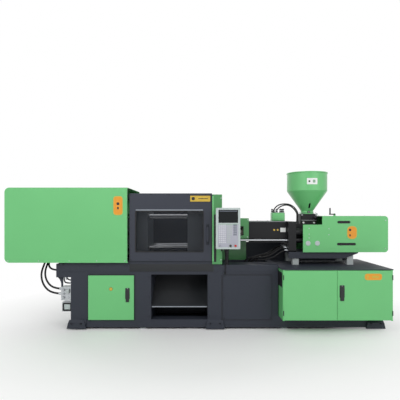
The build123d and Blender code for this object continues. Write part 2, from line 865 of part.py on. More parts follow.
# Fixed platen guard: channel-section arch that stands on the bed behind the platen
with BuildPart() as platen_guard:
    with BuildSketch(side(guard_x[0])):
        with Locations((0, (bed_top + guard_top) / 2)):
            Rectangle(2 * guard_half, guard_top - bed_top)
        with Locations((0, (bed_top + guard_soffit) / 2)):
            Rectangle(2 * guard_inner, guard_soffit - bed_top, mode=Mode.SUBTRACT)
    extrude(amount=guard_x[1] - guard_x[0])
    with BuildSketch(side(guard_x[0])):
        with Locations((0, (bed_top + guard_top) / 2)):
            Rectangle(2 * (guard_half - sheet), guard_top - bed_top - 2 * sheet)
        with Locations((0, (bed_top + guard_soffit) / 2 + sheet)):
            Rectangle(2 * (guard_inner + sheet), guard_soffit - bed_top + 1, mode=Mode.SUBTRACT)
    extrude(amount=guard_x[1] - guard_x[0] - sheet, mode=Mode.SUBTRACT)
keep(platen_guard.part, "platen_guard")

# Guide rods of the carriage in their supports
with BuildPart() as carriage_guides:
    support_length, support_width, support_over = guide_support
    rod_span = (guide_support_x[0], guide_support_x[1] + support_length)
    for y in (-guide_rod_y, guide_rod_y):
        rod_x(rod_span, y, guide_rod_z, guide_rod_radius)
        for x in guide_support_x:
            with BuildSketch(side(x)) as outline:
                with Locations((y, (deck_top + guide_rod_z) / 2)):
                    Rectangle(support_width, guide_rod_z - deck_top)
                with Locations((y, guide_rod_z)):
                    Circle(support_over)
            extrude(outline.sketch, amount=support_length)
keep(carriage_guides.part, "carriage_guides")

# Carriage: plate with side skirts that taper at the rear, and shoes on the guide rods
with BuildPart() as carriage:
    block(carriage_x, (-skirt_half[1], skirt_half[1]), (carriage_top - carriage_plate, carriage_top))
    taper = 180.0
    for span in (skirt_half, mirrored(skirt_half)):
        with BuildSketch(front(span[1])) as outline:
            with BuildLine() as edge:
                Polyline(
                    (carriage_x[0], skirt_bottom),
                    (carriage_x[1] - taper, skirt_bottom),
                    (carriage_x[1], carriage_top - carriage_plate),
                    (carriage_x[1], carriage_top),
                    (carriage_x[0], carriage_top),
                    close=True,
                )
            make_face(edge.edges())
        extrude(outline.sketch, amount=span[1] - span[0])
    for y in (-guide_rod_y, guide_rod_y):
        block(
            shoe_x,
            (y - support_width / 2, y + support_width / 2),
            (guide_rod_z - support_over, carriage_top - carriage_plate),
        )
        rod_x(shoe_x, y, guide_rod_z, guide_rod_radius + slide_gap, mode=Mode.SUBTRACT)
keep(carriage.part, "carriage")

# Feed block: front plate on the carriage with the throat housing behind it
with BuildPart() as feed_block:
    plate_middle = (carriage_top + feed_top) / 2
    with BuildSketch(side(feed_x[0])):
        with Locations((0, plate_middle)):
            RectangleRounded(2 * feed_half, feed_top - carriage_top, 20)
        with Locations(
            (-carriage_cylinder_y, carriage_cylinder_z),
            (carriage_cylinder_y, carriage_cylinder_z),
        ):
            Circle(carriage_rod + 1, mode=Mode.SUBTRACT)
    extrude(amount=feed_x[1] - feed_x[0])
    throat_low = axis_z - barrel_radius - 45
    with BuildSketch(side(feed_x[1])):
        with Locations((0, (throat_low + throat_top) / 2)):
            Rectangle(2 * throat_half, throat_top - throat_low)
        fillet(vertices().group_by(Axis.Y)[0], 25)
    extrude(amount=barrel_rear - feed_x[1])
    rod_x((feed_x[0], barrel_rear), 0, axis_z, barrel_radius + pin_gap, mode=Mode.SUBTRACT)
    rod_z(hopper_x, 0, (axis_z, throat_top), throat_bore, mode=Mode.SUBTRACT)
keep(feed_block.part, "feed_block")

# Barrel with its head, bored for the screw, with the feed hole under the hopper
with BuildPart() as barrel:
    bore = screw_radius + pin_gap
    head_front = barrel_front - head_length
    nozzle_bore = 5.0
    turned(
        (
            (head_front, nozzle_bore),
            (head_front, head_radius),
            (barrel_front, head_radius),
            (barrel_front, barrel_radius),
            (barrel_rear, barrel_radius),
            (barrel_rear, bore),
            (barrel_front + 40, bore),
            (barrel_front, nozzle_bore),
        )
    )
    rod_z(hopper_x, 0, (axis_z, axis_z + barrel_radius), throat_bore - 5, mode=Mode.SUBTRACT)
keep(barrel.part, "barrel")

# Nozzle screwed against the barrel head
with BuildPart() as nozzle:
    nozzle_hole = 3.0
    turned(
        (
            (nozzle_tip, nozzle_hole),
            (nozzle_tip + 2, nozzle_radius / 2),
            (nozzle_tip + 30, nozzle_radius),
            (nozzle_tip + 90, nozzle_radius),
            (nozzle_tip + 90, nozzle_radius * 1.3),
            (head_front, nozzle_radius * 1.3),
            (head_front, nozzle_hole),
        )
    )
keep(nozzle.part, "nozzle")

# Band heaters round the barrel
with BuildPart() as heater_bands:
    band_width = 110.0
    band_count = 5
    band_thick = 9.0
    band_pitch = (feed_x[0] - barrel_front - 20) / band_count
    for i in range(band_count):
        left = barrel_front + 20 + i * band_pitch
        turned(
            (
                (left, barrel_radius + slide_gap),
                (left, barrel_radius + band_thick),
                (left + band_width, barrel_radius + band_thick),
                (left + band_width, barrel_radius + slide_gap),
            )
        )
keep(heater_bands.part, "heater_bands")

# Screw: tip, metering length and a thicker driven shank
with BuildPart() as screw:
    shank_front = barrel_rear + 55
    shank_end = drive_x[0] + 100
    turned(
        (
            (barrel_front + 60, 0),
            (barrel_front + 60, 3),
            (barrel_front + 100, screw_radius - 4),
            (barrel_front + 104, screw_radius),
            (shank_front, screw_radius),
            (shank_front, shank_radius),
            (shank_end, shank_radius),
            (shank_end, 0),
        )
    )
keep(screw.part, "screw")

# Drive housing that carries the screw, with the injection piston rods that pull it forward
with BuildPart() as screw_drive:
    half_y, half_z = drive_half
    with BuildSketch(side(drive_x[0])):
        with Locations((0, axis_z)):
            RectangleRounded(2 * half_y, 2 * half_z, 25)
        for way in (-1, 1):
            with Locations((way * (half_y - 40), (axis_z + carriage_top + slide_gap) / 2)):
                Rectangle(80, axis_z - carriage_top - slide_gap)
    extrude(amount=drive_x[1] - drive_x[0])
    rod_x((drive_x[0], shank_end + 5), 0, axis_z, shank_radius + pin_gap, mode=Mode.SUBTRACT)
    tube_bore = injection_cylinder[1]
    rod_front = feed_x[1] + 60
    for y in (-injection_cylinder_y, injection_cylinder_y):
        rod_x((rod_front, drive_x[0]), y, axis_z, injection_rod)
        rod_x((rod_front, rod_front + 30), y, axis_z, tube_bore - slide_gap)
keep(screw_drive.part, "screw_drive")

# Hydraulic motor that turns the screw
with BuildPart() as hydraulic_motor:
    motor_end = drive_x[1] + 270
    turned(
        (
            (drive_x[1], 0),
            (drive_x[1], 100),
            (drive_x[1] + 40, 100),
            (drive_x[1] + 40, 78),
            (motor_end - 70, 78),
            (motor_end - 60, 88),
            (motor_end, 88),
            (motor_end, 0),
        )
    )
keep(hydraulic_motor.part, "hydraulic_motor")


def cylinder_tube(left, y, z, sizes, mouth, rod, cap):
    """Hydraulic cylinder tube along X with a rod hole through the end wall at its mouth."""
    outer, bore, length = sizes
    rod_x((left, left + length), y, z, outer)
    inner = (left + cap, left + length - cap)
    rod_x(inner, y, z, bore, mode=Mode.SUBTRACT)
    hole = (left - 1, left + cap + 1) if mouth < 0 else (left + length - cap - 1, left + length + 1)
    rod_x(hole, y, z, rod + slide_gap, mode=Mode.SUBTRACT)


# Injection cylinders and carriage cylinders, fastened behind the front plate
with BuildPart() as hydraulic_cylinders:
    cap = 15.0
    for way in (-1, 1):
        y = way * injection_cylinder_y
        cylinder_tube(feed_x[1], y, axis_z, injection_cylinder, 1, injection_rod, cap)
        y = way * carriage_cylinder_y
        cylinder_tube(feed_x[1], y, carriage_cylinder_z, carriage_cylinder, -1, carriage_rod, cap)
keep(hydraulic_cylinders.part, "hydraulic_cylinders")

# Carriage cylinder rods from the fixed platen, each with its piston
with BuildPart() as carriage_rods:
    piston_left = feed_x[1] + cap + 2
    for way in (-1, 1):
        y = way * carriage_cylinder_y
        rod_x((fixed_back, piston_left), y, carriage_cylinder_z, carriage_rod)
        piston = (piston_left, piston_left + 20)
        rod_x(piston, y, carriage_cylinder_z, carriage_cylinder[1] - slide_gap)
keep(carriage_rods.part, "carriage_rods")


def hood(y_half, z, wall):
    """Inverted channel outline in Y and Z."""
    with BuildSketch() as outline:
        with Locations((0, (z[0] + z[1]) / 2)):
            Rectangle(2 * y_half, z[1] - z[0])
        with Locations((0, (z[0] + z[1]) / 2 - wall)):
            Rectangle(2 * (y_half - wall), z[1] - z[0], mode=Mode.SUBTRACT)
    return outline.sketch


# Barrel guard: perforated hood over the heated barrel
with BuildPart() as barrel_guard:
    guard_shape = side(barrel_guard_left) * hood(barrel_guard_half, barrel_guard_z, sheet)
    extrude(guard_shape, amount=feed_x[0] - barrel_guard_left, dir=(1, 0, 0))
    slot_count = 5
    slot_pitch = (feed_x[0] - barrel_guard_left) / (slot_count + 1)
    with BuildSketch(plan(barrel_guard_z[1] - 2 * sheet)):
        with Locations(((barrel_guard_left + feed_x[0]) / 2 - slot_pitch, 0)):
            with GridLocations(slot_pitch / 2, 0, slot_count, 1):
                SlotOverall(barrel_guard_half, 12, rotation=90)
    extrude(amount=3 * sheet, mode=Mode.SUBTRACT)
keep(barrel_guard.part, "barrel_guard")

# Junction box for the heater leads
with BuildPart() as junction_box:
    box_x = (968.0, 1140.0)
    box_y = (-65.0, 55.0)
    box_top = 1462.0
    block(box_x, box_y, (barrel_guard_z[1], box_top))
    fillet(junction_box.edges().filter_by(Axis.Z), 10)
    fillet(junction_box.faces().sort_by(Axis.Z)[-1].edges(), 5)
keep(junction_box.part, "junction_box")

# Hopper: spun sheet with a rolled rim and a bottom flange
with BuildPart() as hopper:
    flange_z, neck_z, cone_z, rim_z = hopper_levels
    inner = hopper_radius - hopper_wall
    neck_inner = hopper_neck - hopper_wall
    upright = Plane(origin=(hopper_x, axis_y, 0), x_dir=(1, 0, 0), z_dir=(0, -1, 0))
    with BuildSketch(upright):
        with BuildLine():
            Polyline(
                (neck_inner, flange_z),
                (hopper_neck + 14, flange_z),
                (hopper_neck + 14, flange_z + 8),
                (hopper_neck, flange_z + 8),
                (hopper_neck, neck_z),
                (hopper_radius, cone_z),
                (hopper_radius, rim_z - 2 * rim_bead),
                (hopper_radius + rim_bead, rim_z - 1.5 * rim_bead),
                (hopper_radius + rim_bead, rim_z - 0.5 * rim_bead),
                (hopper_radius, rim_z),
                (inner, rim_z),
                (inner, cone_z + 1),
                (neck_inner, neck_z + 1),
                close=True,
            )
        make_face()
    revolve(axis=Axis((hopper_x, axis_y, 0), (0, 0, 1)))
keep(hopper.part, "hopper")

# Hopper base: drain block with the throat and a slot for the gate
with BuildPart() as hopper_base:
    with BuildSketch(plan(throat_top)):
        with Locations((sum(hopper_base_x) / 2, 0)):
            RectangleRounded(hopper_base_x[1] - hopper_base_x[0], 2 * hopper_base_half, 10)
    extrude(amount=hopper_levels[0] - throat_top)
    rod_z(hopper_x, 0, (throat_top, hopper_levels[0]), throat_bore, mode=Mode.SUBTRACT)
    block(
        (hopper_x - throat_bore - 14, hopper_base_x[1]),
        (-gate_half - slide_gap, gate_half + slide_gap),
        (gate_z - slide_gap, gate_z + gate_thick + slide_gap),
        mode=Mode.SUBTRACT,
    )
    for level in (throat_top + 30, throat_top + 62):
        for way in (-1, 1):
            groove = sorted((way * (hopper_base_half - 5), way * hopper_base_half))
            block(hopper_base_x, groove, (level, level + 8), mode=Mode.SUBTRACT)
    knob_radius = 11.0
    knob_z = throat_top + 17
    for x in (hopper_base_x[0] + 28, hopper_base_x[1] - 48):
        rod_y(x, (-hopper_base_half - 28, -hopper_base_half), knob_z, knob_radius)
keep(hopper_base.part, "hopper_base")

# Gate that shuts the hopper, with its pull knob
with BuildPart() as hopper_gate:
    gate_left = hopper_x - throat_bore - 12
    block((gate_left, gate_right), (-gate_half, gate_half), (gate_z, gate_z + gate_thick))
    fillet(hopper_gate.edges().filter_by(Axis.Z).group_by(Axis.X)[-1], 15)
    knob = (gate_z + gate_thick, gate_z + gate_thick + 22)
    rod_z(gate_right - 20, 0, knob, 10)
keep(hopper_gate.part, "hopper_gate")

# Injection cover: folded hood on the carriage, cut away at the hopper, with two grip slots
with BuildPart() as injection_cover:
    length = shroud_x[1] - shroud_x[0]
    height = shroud_top - carriage_top
    with BuildSketch(front(shroud_half)):
        with Locations((sum(shroud_x) / 2, (carriage_top + shroud_top) / 2)):
            Rectangle(length, height)
        fillet(vertices().group_by(Axis.X)[-1], shroud_corner)
    extrude(amount=2 * shroud_half)
    inner_half = shroud_half - sheet
    with BuildSketch(front(inner_half)):
        with Locations((sum(shroud_x) / 2 - sheet, (carriage_top + shroud_top) / 2)):
            Rectangle(length, height - 2 * sheet)
        fillet(vertices().group_by(Axis.X)[-1], shroud_corner - sheet)
    extrude(amount=2 * inner_half, mode=Mode.SUBTRACT)
    block(
        (shroud_x[0] - 1, shroud_x[1] - shroud_corner),
        (-skirt_half[1] + 6, skirt_half[1] - 6),
        (carriage_top - 1, carriage_top + sheet + 1),
        mode=Mode.SUBTRACT,
    )
    block(
        (shroud_x[0] - 1, notch_right),
        (-shroud_half - 1, shroud_half + 1),
        (notch_bottom, shroud_top + 1),
        mode=Mode.SUBTRACT,
    )
    for x, z, slot_length in ((1853.0, 1338.0, 160.0), (1886.0, 1055.0, 235.0)):
        with BuildSketch(front(shroud_half + 1)) as grip:
            with Locations((x, z)):
                SlotOverall(slot_length, 26)
        extrude(grip.sketch, amount=2 * shroud_half + 2, mode=Mode.SUBTRACT)
    crank_x = 1795.0
    crank_y = -100.0
    crank_pin = 7.0
    rod_z(crank_x, crank_y, (shroud_top, shroud_top + 34), crank_pin)
    rod_z(crank_x, crank_y, (shroud_top, shroud_top + 16), 2 * crank_pin)
keep(injection_cover.part, "injection_cover")

# Crank that turns on the cover
with BuildPart() as cover_crank:
    crank_throw = 60.0
    crank_low = shroud_top + 16 + slide_gap
    crank_bar = 14.0
    knob_top = 1524.0
    with BuildSketch(plan(crank_low)):
        with Locations((crank_x - crank_throw / 2, crank_y)):
            SlotCenterToCenter(crank_throw, 26)
        with Locations((crank_x, crank_y)):
            Circle(crank_pin + pin_gap, mode=Mode.SUBTRACT)
    extrude(amount=crank_bar)
    rod_z(crank_x - crank_throw, crank_y, (crank_low + crank_bar, knob_top), 9)
    fillet(cover_crank.faces().sort_by(Axis.Z)[-1].edges(), 4)
keep(cover_crank.part, "cover_crank")

# Stand behind the purge guard, with the hinge pin
with BuildPart() as purge_stand:
    hinge_y = purge_half + 8
    hinge_z = purge_z[1] - 8
    knuckle = 8.0
    block(purge_x, (purge_half - sheet, purge_half), (injection_bed_top, hinge_z - knuckle - 2))
    block(purge_x, (purge_half, purge_half + 40), (injection_bed_top, injection_bed_top + sheet))
    rod_x(purge_x, hinge_y, hinge_z, hinge_pin)
    for x in (purge_x[0], (purge_x[0] + purge_x[1]) / 2 - 10, purge_x[1] - 20):
        with BuildSketch(side(x)) as outline:
            with Locations((hinge_y, hinge_z)):
                Circle(knuckle)
            with Locations((hinge_y - 4, hinge_z - 20)):
                Rectangle(knuckle, 40)
        extrude(outline.sketch, amount=20)
keep(purge_stand.part, "purge_stand")

# Purge guard: folded sheet that swings up and back over the nozzle
with BuildPart() as purge_guard:
    with BuildSketch(side(purge_x[0])):
        with BuildLine():
            Polyline(
                (-purge_half, purge_z[0]),
                (-purge_half, purge_z[1]),
                (hinge_y, purge_z[1]),
                (hinge_y, purge_z[1] - sheet),
                (-purge_half + sheet, purge_z[1] - sheet),
                (-purge_half + sheet, purge_z[0]),
                close=True,
            )
        make_face()
    extrude(amount=purge_x[1] - purge_x[0])
    window = (purge_x[1] - 115, purge_x[1] - 75)
    panel(window, (purge_z[0] + 45, purge_z[1] - 110), -purge_half - 1, sheet + 2, 0, Mode.SUBTRACT)
    rod_x(purge_x, hinge_y, hinge_z, knuckle)
    rod_x(purge_x, hinge_y, hinge_z, hinge_pin + pin_gap, mode=Mode.SUBTRACT)
    for x in (purge_x[0], (purge_x[0] + purge_x[1]) / 2 - 10, purge_x[1] - 20):
        gap = (x - slide_gap, x + 20 + slide_gap)
        block(gap, (purge_half - 2 * sheet, hinge_y + 9), (hinge_z - 9, purge_z[1] + 1), mode=Mode.SUBTRACT)
keep(purge_guard.part, "purge_guard")

# Electric cabinet: folded box with two door openings and louvres on the clamp side
with BuildPart() as electric_cabinet:
    block(cabinet_x, (cabinet_front, cabinet_back), (cabinet_seat_z, cabinet_top))
    fillet(electric_cabinet.edges().filter_by(Axis.Z), 8)
    block(
        inset(cabinet_x, sheet),
        (cabinet_front + sheet, cabinet_back - sheet),
        (cabinet_seat_z + sheet, cabinet_top - sheet),
        mode=Mode.SUBTRACT,
    )
    rim = 30.0
    opening_z = (cabinet_seat_z + rim, cabinet_top - rim)
    for opening in (
        (cabinet_x[0] + rim, leaf_seam - rim / 2),
        (leaf_seam + rim / 2, cabinet_x[1] - rim),
    ):
        panel(opening, opening_z, cabinet_front - 1, sheet + 2, 6, Mode.SUBTRACT)
    louvre_count = 5
    with BuildSketch(side(cabinet_x[0] - 1)):
        with Locations((cabinet_front + 110, cabinet_top - 140)):
            with GridLocations(0, 26, 1, louvre_count):
                SlotOverall(140, 10)
    extrude(amount=sheet + 2, mode=Mode.SUBTRACT)
    for x in (cabinet_x[0], cabinet_x[1] - leaf_thick):
        hinge_x = x + leaf_thick / 2
        hinge_y = cabinet_front - slide_gap - leaf_thick / 2
        for z, way in ((leaf_z[1], 1), (leaf_z[0], -1)):
            lug = sorted((z + way * slide_gap, cabinet_top if way == 1 else cabinet_seat_z))
            block((x, x + leaf_thick), (hinge_y - leaf_thick / 2, cabinet_front + 10), lug)
            pin = sorted((z + way * slide_gap, z - way * hinge_depth))
            rod_z(hinge_x, hinge_y, pin, hinge_pin)
keep(electric_cabinet.part, "electric_cabinet")


def leaf(x, z, inner, hinged):
    """Hinged sheet-metal door, round at its hinge edge and folded at the others, hinged to the left or right."""
    outer = inner - leaf_thick
    hinge_x = x[0] + leaf_thick / 2 if hinged < 0 else x[1] - leaf_thick / 2
    with BuildSketch(plan(z[0])) as outline:
        with Locations(((x[0] + x[1]) / 2, (inner + outer) / 2)):
            Rectangle(x[1] - x[0], leaf_thick)
        edge = 0 if hinged < 0 else -1
        fillet(outline.vertices().group_by(Axis.X)[edge], leaf_thick / 2 - 0.01)
    extrude(outline.sketch, amount=z[1] - z[0])
    for start, way in ((z[0], 1), (z[1], -1)):
        hole = sorted((start, start + way * (hinge_depth + 2)))
        rod_z(hinge_x, (inner + outer) / 2, hole, hinge_pin + pin_gap, mode=Mode.SUBTRACT)


def latch_bore(x, z, inner):
    """Hole through a door for the shaft of its latch."""
    rod_y(x, (inner - leaf_thick - 1, inner + 1), z, latch_shaft + pin_gap, mode=Mode.SUBTRACT)


def latch(x, z, inner, height, width):
    """Lever latch that lies on the door and turns about its upper end."""
    outer = inner - leaf_thick - slide_gap
    panel((x - width / 2, x + width / 2), (z - height + width / 2, z + width / 2), outer - 8, 8, 5)
    rod_y(x, (outer, inner + 6), z, latch_shaft)
    cam = (inner + 2, inner + 6)
    block((x - 12, x + 12), cam, (z - 34, z + 12))


latch_shaft = 7.0
door_inner = cabinet_front - slide_gap
latch_at = (1690.0, 520.0)
with BuildPart() as cabinet_door_left:
    leaf((cabinet_x[0], leaf_seam - seam / 2), leaf_z, door_inner, -1)
keep(cabinet_door_left.part, "cabinet_door_left")

with BuildPart() as cabinet_door_right:
    leaf((leaf_seam + seam / 2, cabinet_x[1]), leaf_z, door_inner, 1)
    latch_bore(latch_at[0], latch_at[1], door_inner)
keep(cabinet_door_right.part, "cabinet_door_right")

with BuildPart() as cabinet_latch:
    latch(latch_at[0], latch_at[1], door_inner, 134, 46)
keep(cabinet_latch.part, "cabinet_latch")

# Door of the pump bay with its latch
base_inner = -bed_half - slide_gap
base_latch_at = (-904.0, 450.0)
with BuildPart() as base_door:
    leaf(base_door_x, base_door_z, base_inner, -1)
    latch_bore(base_latch_at[0], base_latch_at[1], base_inner)
keep(base_door.part, "base_door")

with BuildPart() as base_latch:
    latch(base_latch_at[0], base_latch_at[1], base_inner, 126, 42)
keep(base_latch.part, "base_latch")

# Switchgear: mounting plate with rails, drives and contactors at the back of the cabinet
with BuildPart() as switchgear:
    plate_back = cabinet_back - sheet
    plate_face = plate_back - 6
    plate_x = inset(cabinet_x, 40)
    plate_z = (cabinet_seat_z + 40, cabinet_top - 40)
    panel(plate_x, plate_z, plate_face, plate_back - plate_face)
    for low, high, depth, count in ((260, 460, 150, 5), (520, 620, 90, 12)):
        pitch = (plate_x[1] - plate_x[0] - 80) / count
        for i in range(count):
            left = plate_x[0] + 40 + i * pitch
            panel((left, left + pitch * 0.8), (low, high), plate_face - depth, depth)
    panel(inset(plate_x, 20), (660, 700), plate_face - 50, 50)
keep(switchgear.part, "switchgear")

# Post and arm that carry the controller
with BuildPart() as controller_post:
    rod_z(post_x, post_y, (injection_bed_top, post_top), post_radius)
    rod_z(post_x, post_y, (injection_bed_top, injection_bed_top + 10), post_radius + 8)
    arm_width = 44.0
    arm_thick = 30.0
    with BuildSketch(plan(post_top)):
        with Locations((post_x, (swivel_y + post_y) / 2)):
            RectangleRounded(arm_width, post_y - swivel_y + arm_width, 18)
    extrude(amount=arm_thick)
    swivel_z = (post_top + arm_thick, post_top + arm_thick + 50)
    rod_z(post_x, swivel_y, swivel_z, swivel_radius)
keep(controller_post.part, "controller_post")

# Controller: shallow box with recesses for screen and keypad, turning on the arm
with BuildPart() as controller:
    depth = controller_back - controller_front
    panel(controller_x, controller_z, controller_front, depth, 10)
    screen_x = (221.0, 457.0)
    screen_z = (1335.0, 1492.0)
    recess = 3.0
    panel(screen_x, screen_z, controller_front - 1, recess + 1, 4, Mode.SUBTRACT)
    keypad_x = (214.0, 463.0)
    keypad_z = (1040.0, 1322.0)
    keypad_recess = 1.0
    panel(keypad_x, keypad_z, controller_front - 1, keypad_recess + 1, 4, Mode.SUBTRACT)
    for x in button_x:
        hole = (controller_front - 1, controller_front + 30)
        rod_y(x, hole, button_z, button_radius + pin_gap, mode=Mode.SUBTRACT)
    hub = (swivel_z[0] + slide_gap, swivel_z[1] - 2)
    hub_radius = 26.0
    rod_z(post_x, swivel_y, hub, hub_radius)
    block((post_x - hub_radius, post_x + hub_radius), (controller_back, swivel_y), hub)
    rod_z(post_x, swivel_y, hub, swivel_radius + pin_gap, mode=Mode.SUBTRACT)
keep(controller.part, "controller")

# Start and stop buttons
for name, x in (("start_button", button_x[0]), ("stop_button", button_x[1])):
    with BuildPart() as button:
        cap_back = controller_front + keypad_recess - button_travel - slide_gap
        rod_y(x, (cap_back, controller_front + 22), button_z, button_radius)
        rod_y(x, (cap_back - 10, cap_back), button_z, button_head)
        fillet(button.faces().sort_by(Axis.Y)[0].edges(), 3)
    keep(button.part, name)

# Oil manifold and the cable socket below it, on the left end of the bed
with BuildPart() as oil_manifold:
    block((manifold_left, bed_left), manifold_y, manifold_z)
    chamfer(oil_manifold.edges().filter_by(Axis.Y), 6)
    block((manifold_left + 12, bed_left), inset(manifold_y, 5), (213, 332))
keep(oil_manifold.part, "oil_manifold")


def hose(points, radius):
    """Hose along straight runs joined by large tangent arcs; prints its radii and a volume check."""
    corners = [Vector(x, axis_y + y, z) for x, y, z in points]
    radii = []
    for before, at, after in zip(corners, corners[1:], corners[2:]):
        turn = (at - before).get_angle(after - at)
        shorter = min((at - before).length, (after - at).length)
        radii.append(0.45 * shorter / tan(radians(turn) / 2))
    with BuildLine() as path:
        FilletPolyline(*corners, radius=radii)
    wire = path.wires()[0]
    with BuildSketch(Plane(origin=wire @ 0, z_dir=wire % 0)) as section:
        Circle(radius)
    tube = sweep(section.sketch, path=wire)
    ratio = tube.volume / (section.sketch.area * wire.length)
    print("radii", [round(r) for r in radii], "length", round(wire.length), "volume", round(ratio, 4))


# Hoses from the clamp cylinder: two to the oil manifold and one into the end of the bed beam
with BuildPart() as clamp_hoses:
    port_1, port_2, port_3 = hose_ports
    hose(
        (
            (port_1, hose_port_y, clamp_port - slide_gap),
            (port_1, hose_port_y, 1020),
            (port_1 - 8, -105, 925),
            (port_1 - 25, -225, 800),
            (port_1 - 42, -305, 670),
            (port_1 + 5, -335, 530),
            (port_1 + 115, -338, 432),
            (manifold_left - slide_gap, -338, 430),
        ),
        clamp_hose_radius,
    )
    hose(
        (
            (port_2, hose_port_y, clamp_port - slide_gap),
            (port_2, hose_port_y, 1020),
            (port_2 - 10, -100, 930),
            (port_2 - 28, -205, 810),
            (port_2 - 42, -280, 690),
            (port_2 - 5, -300, 570),
            (port_2 + 90, -303, 487),
            (manifold_left - slide_gap, -303, 485),
        ),
        clamp_hose_radius,
    )
    hose(
        (
            (port_3, hose_port_y, clamp_port - slide_gap),
            (port_3, hose_port_y, 1025),
            (port_3 - 12, -90, 950),
            (port_3 - 38, -180, 865),
            (port_3 - 50, -245, 780),
            (port_3 + 15, -274, 720),
            (beam_left - slide_gap, -274, 720),
        ),
        clamp_hose_radius,
    )
    for x, z in ((-1700.0, 600.0), (-1735.0, 560.0)):
        hose(
            (
                (x, -325, beam_bottom - slide_gap),
                (x, -325, z + 30),
                (x + 28, -324, z),
                (bed_left - slide_gap, -324, z),
            ),
            hose_radius,
        )
keep(clamp_hoses.part, "clamp_hoses")

# Hoses and leads that ride on the carriage: four down into the well, two over the barrel guard
with BuildPart() as carriage_hoses:
    well_floor = injection_bed_top - well_depth + slide_gap
    port_x = feed_x[0] - slide_gap
    for y, port_z, reach, hang in (
        (-95, 1010, 640, 880),
        (-35, 985, 700, 858),
        (30, 1015, 760, 884),
        (90, 990, 670, 866),
    ):
        hose(
            (
                (port_x, y, port_z),
                (port_x - 80, y, port_z),
                (port_x - 200, y - 4, hang + 40),
                (reach + 110, y * 0.92, hang),
                (reach, y * 0.86, well_floor + 85),
                (reach, y * 0.85, well_floor),
            ),
            hose_radius,
        )
    hose(
        (
            (port_x, -150, 1000),
            (port_x - 80, -150, 1000),
            (960, -176, 918),
            (850, -176, 872),
            (712, -150, 868),
            (606, -112, 846),
            (598, -103, 800),
            (598, -103, well_floor),
        ),
        hose_radius,
    )
    hose(
        (
            (port_x, -185, 968),
            (port_x - 70, -185, 965),
            (985, -206, 888),
            (870, -210, 850),
            (776, -182, 838),
            (700, -126, 842),
            (669, -103, 796),
            (669, -103, well_floor),
        ),
        hose_radius,
    )
    for y, rise in ((-30, 0.0), (15, -14.0)):
        top_x = box_x[0] + 60 + y
        drop_x = hopper_base_x[0] - 30
        hose(
            (
                (top_x, y, box_top + slide_gap),
                (top_x, y, box_top + 60 + rise),
                (top_x + 90, y + 3, box_top + 120 + rise),
                (drop_x - 90, y - 3, box_top + 115 + rise),
                (drop_x, y, box_top + 20 + rise),
                (drop_x, y + 2, box_top - 60),
                (drop_x, y + 2, throat_top + slide_gap),
            ),
            hose_radius,
        )
keep(carriage_hoses.part, "carriage_hoses")
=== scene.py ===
# %% [markdown]
# # Injection moulding machine
# The solids of the machine come ready made: beds, platens, toggle, barrel, covers and doors, each at its
# real size and on the body that it moves with. This lesson gives every surface its finish and adds what is
# too small or too soft for the solids: hoses and their fittings, screws, keys, seals, glands and fields of
# colour. The first step is to load the solids and to note how large the whole machine is.

# %% Load the solids
import math
import bmesh
import bpy
from mathutils import Matrix, Vector


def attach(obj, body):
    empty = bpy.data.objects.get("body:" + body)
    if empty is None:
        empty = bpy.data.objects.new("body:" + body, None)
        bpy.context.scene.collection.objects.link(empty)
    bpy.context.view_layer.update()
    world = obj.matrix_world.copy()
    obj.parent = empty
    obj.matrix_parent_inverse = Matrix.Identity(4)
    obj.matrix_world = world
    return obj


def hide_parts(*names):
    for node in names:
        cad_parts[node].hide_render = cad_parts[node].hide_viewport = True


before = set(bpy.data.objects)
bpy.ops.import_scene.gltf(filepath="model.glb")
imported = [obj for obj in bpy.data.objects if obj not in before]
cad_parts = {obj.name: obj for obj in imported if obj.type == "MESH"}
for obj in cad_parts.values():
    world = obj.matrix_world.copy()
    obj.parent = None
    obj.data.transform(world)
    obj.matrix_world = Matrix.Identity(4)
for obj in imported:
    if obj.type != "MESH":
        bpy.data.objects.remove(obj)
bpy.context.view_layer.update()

# %% [markdown]
# A photograph from straight in front is rebuilt with a level camera at eye height. The lens comes from how
# fast widths shrink with depth, and the small shift puts the horizon a little below the middle, as a
# photographer does who keeps uprights upright and crops afterwards.

# %% Set the camera
camera_data = bpy.data.cameras.new("camera")
camera_data.sensor_width = 36.0
focal_pixels = 385.0
picture_width = 400.0
horizon_row = 215.0
camera_data.lens = camera_data.sensor_width * focal_pixels / picture_width
camera_data.shift_y = (horizon_row - picture_width / 2) / picture_width
camera = bpy.data.objects.new("camera", camera_data)
camera.location = (0.0, -5.14, 1.43)
camera.rotation_euler = (math.radians(90), 0, 0)
bpy.context.collection.objects.link(camera)
bpy.context.scene.camera = camera
print("lens", round(camera_data.lens, 1), "mm")

# %% [markdown]
# A node editor full of Math nodes is hard to read, so the shader sums are written as Python. A `Wire` is a
# socket that can be added and multiplied, and each operator lays one Math node. Every other node comes from
# the one method `add`, which takes the node's kind, its settings and what goes into its sockets.

# %% A socket with arithmetic
class Wire:
    """A socket of a material's nodes. Sums on wires add Math nodes, and add() adds any other node."""

    def __init__(self, tree, socket=None):
        self.tree = tree
        self.socket = socket

    def add(self, kind, settings=None, sockets=None, outlet=0):
        """Adds a node with its settings, fills its sockets and returns one outlet."""
        node = self.tree.nodes.new("ShaderNode" + kind)
        for setting, value in (settings or {}).items():
            setattr(node, setting, value)
        for name, value in (sockets or {}).items():
            plug(self.tree, node.inputs[name], value)
        return Wire(self.tree, node.outputs[outlet])

    def sum(self, operation, first, second):
        return self.add("Math", {"operation": operation}, {0: first, 1: second})

    def __add__(self, other):
        return self.sum("ADD", self, other)

    def __mul__(self, other):
        return self.sum("MULTIPLY", self, other)

    __radd__ = __add__
    __rmul__ = __mul__


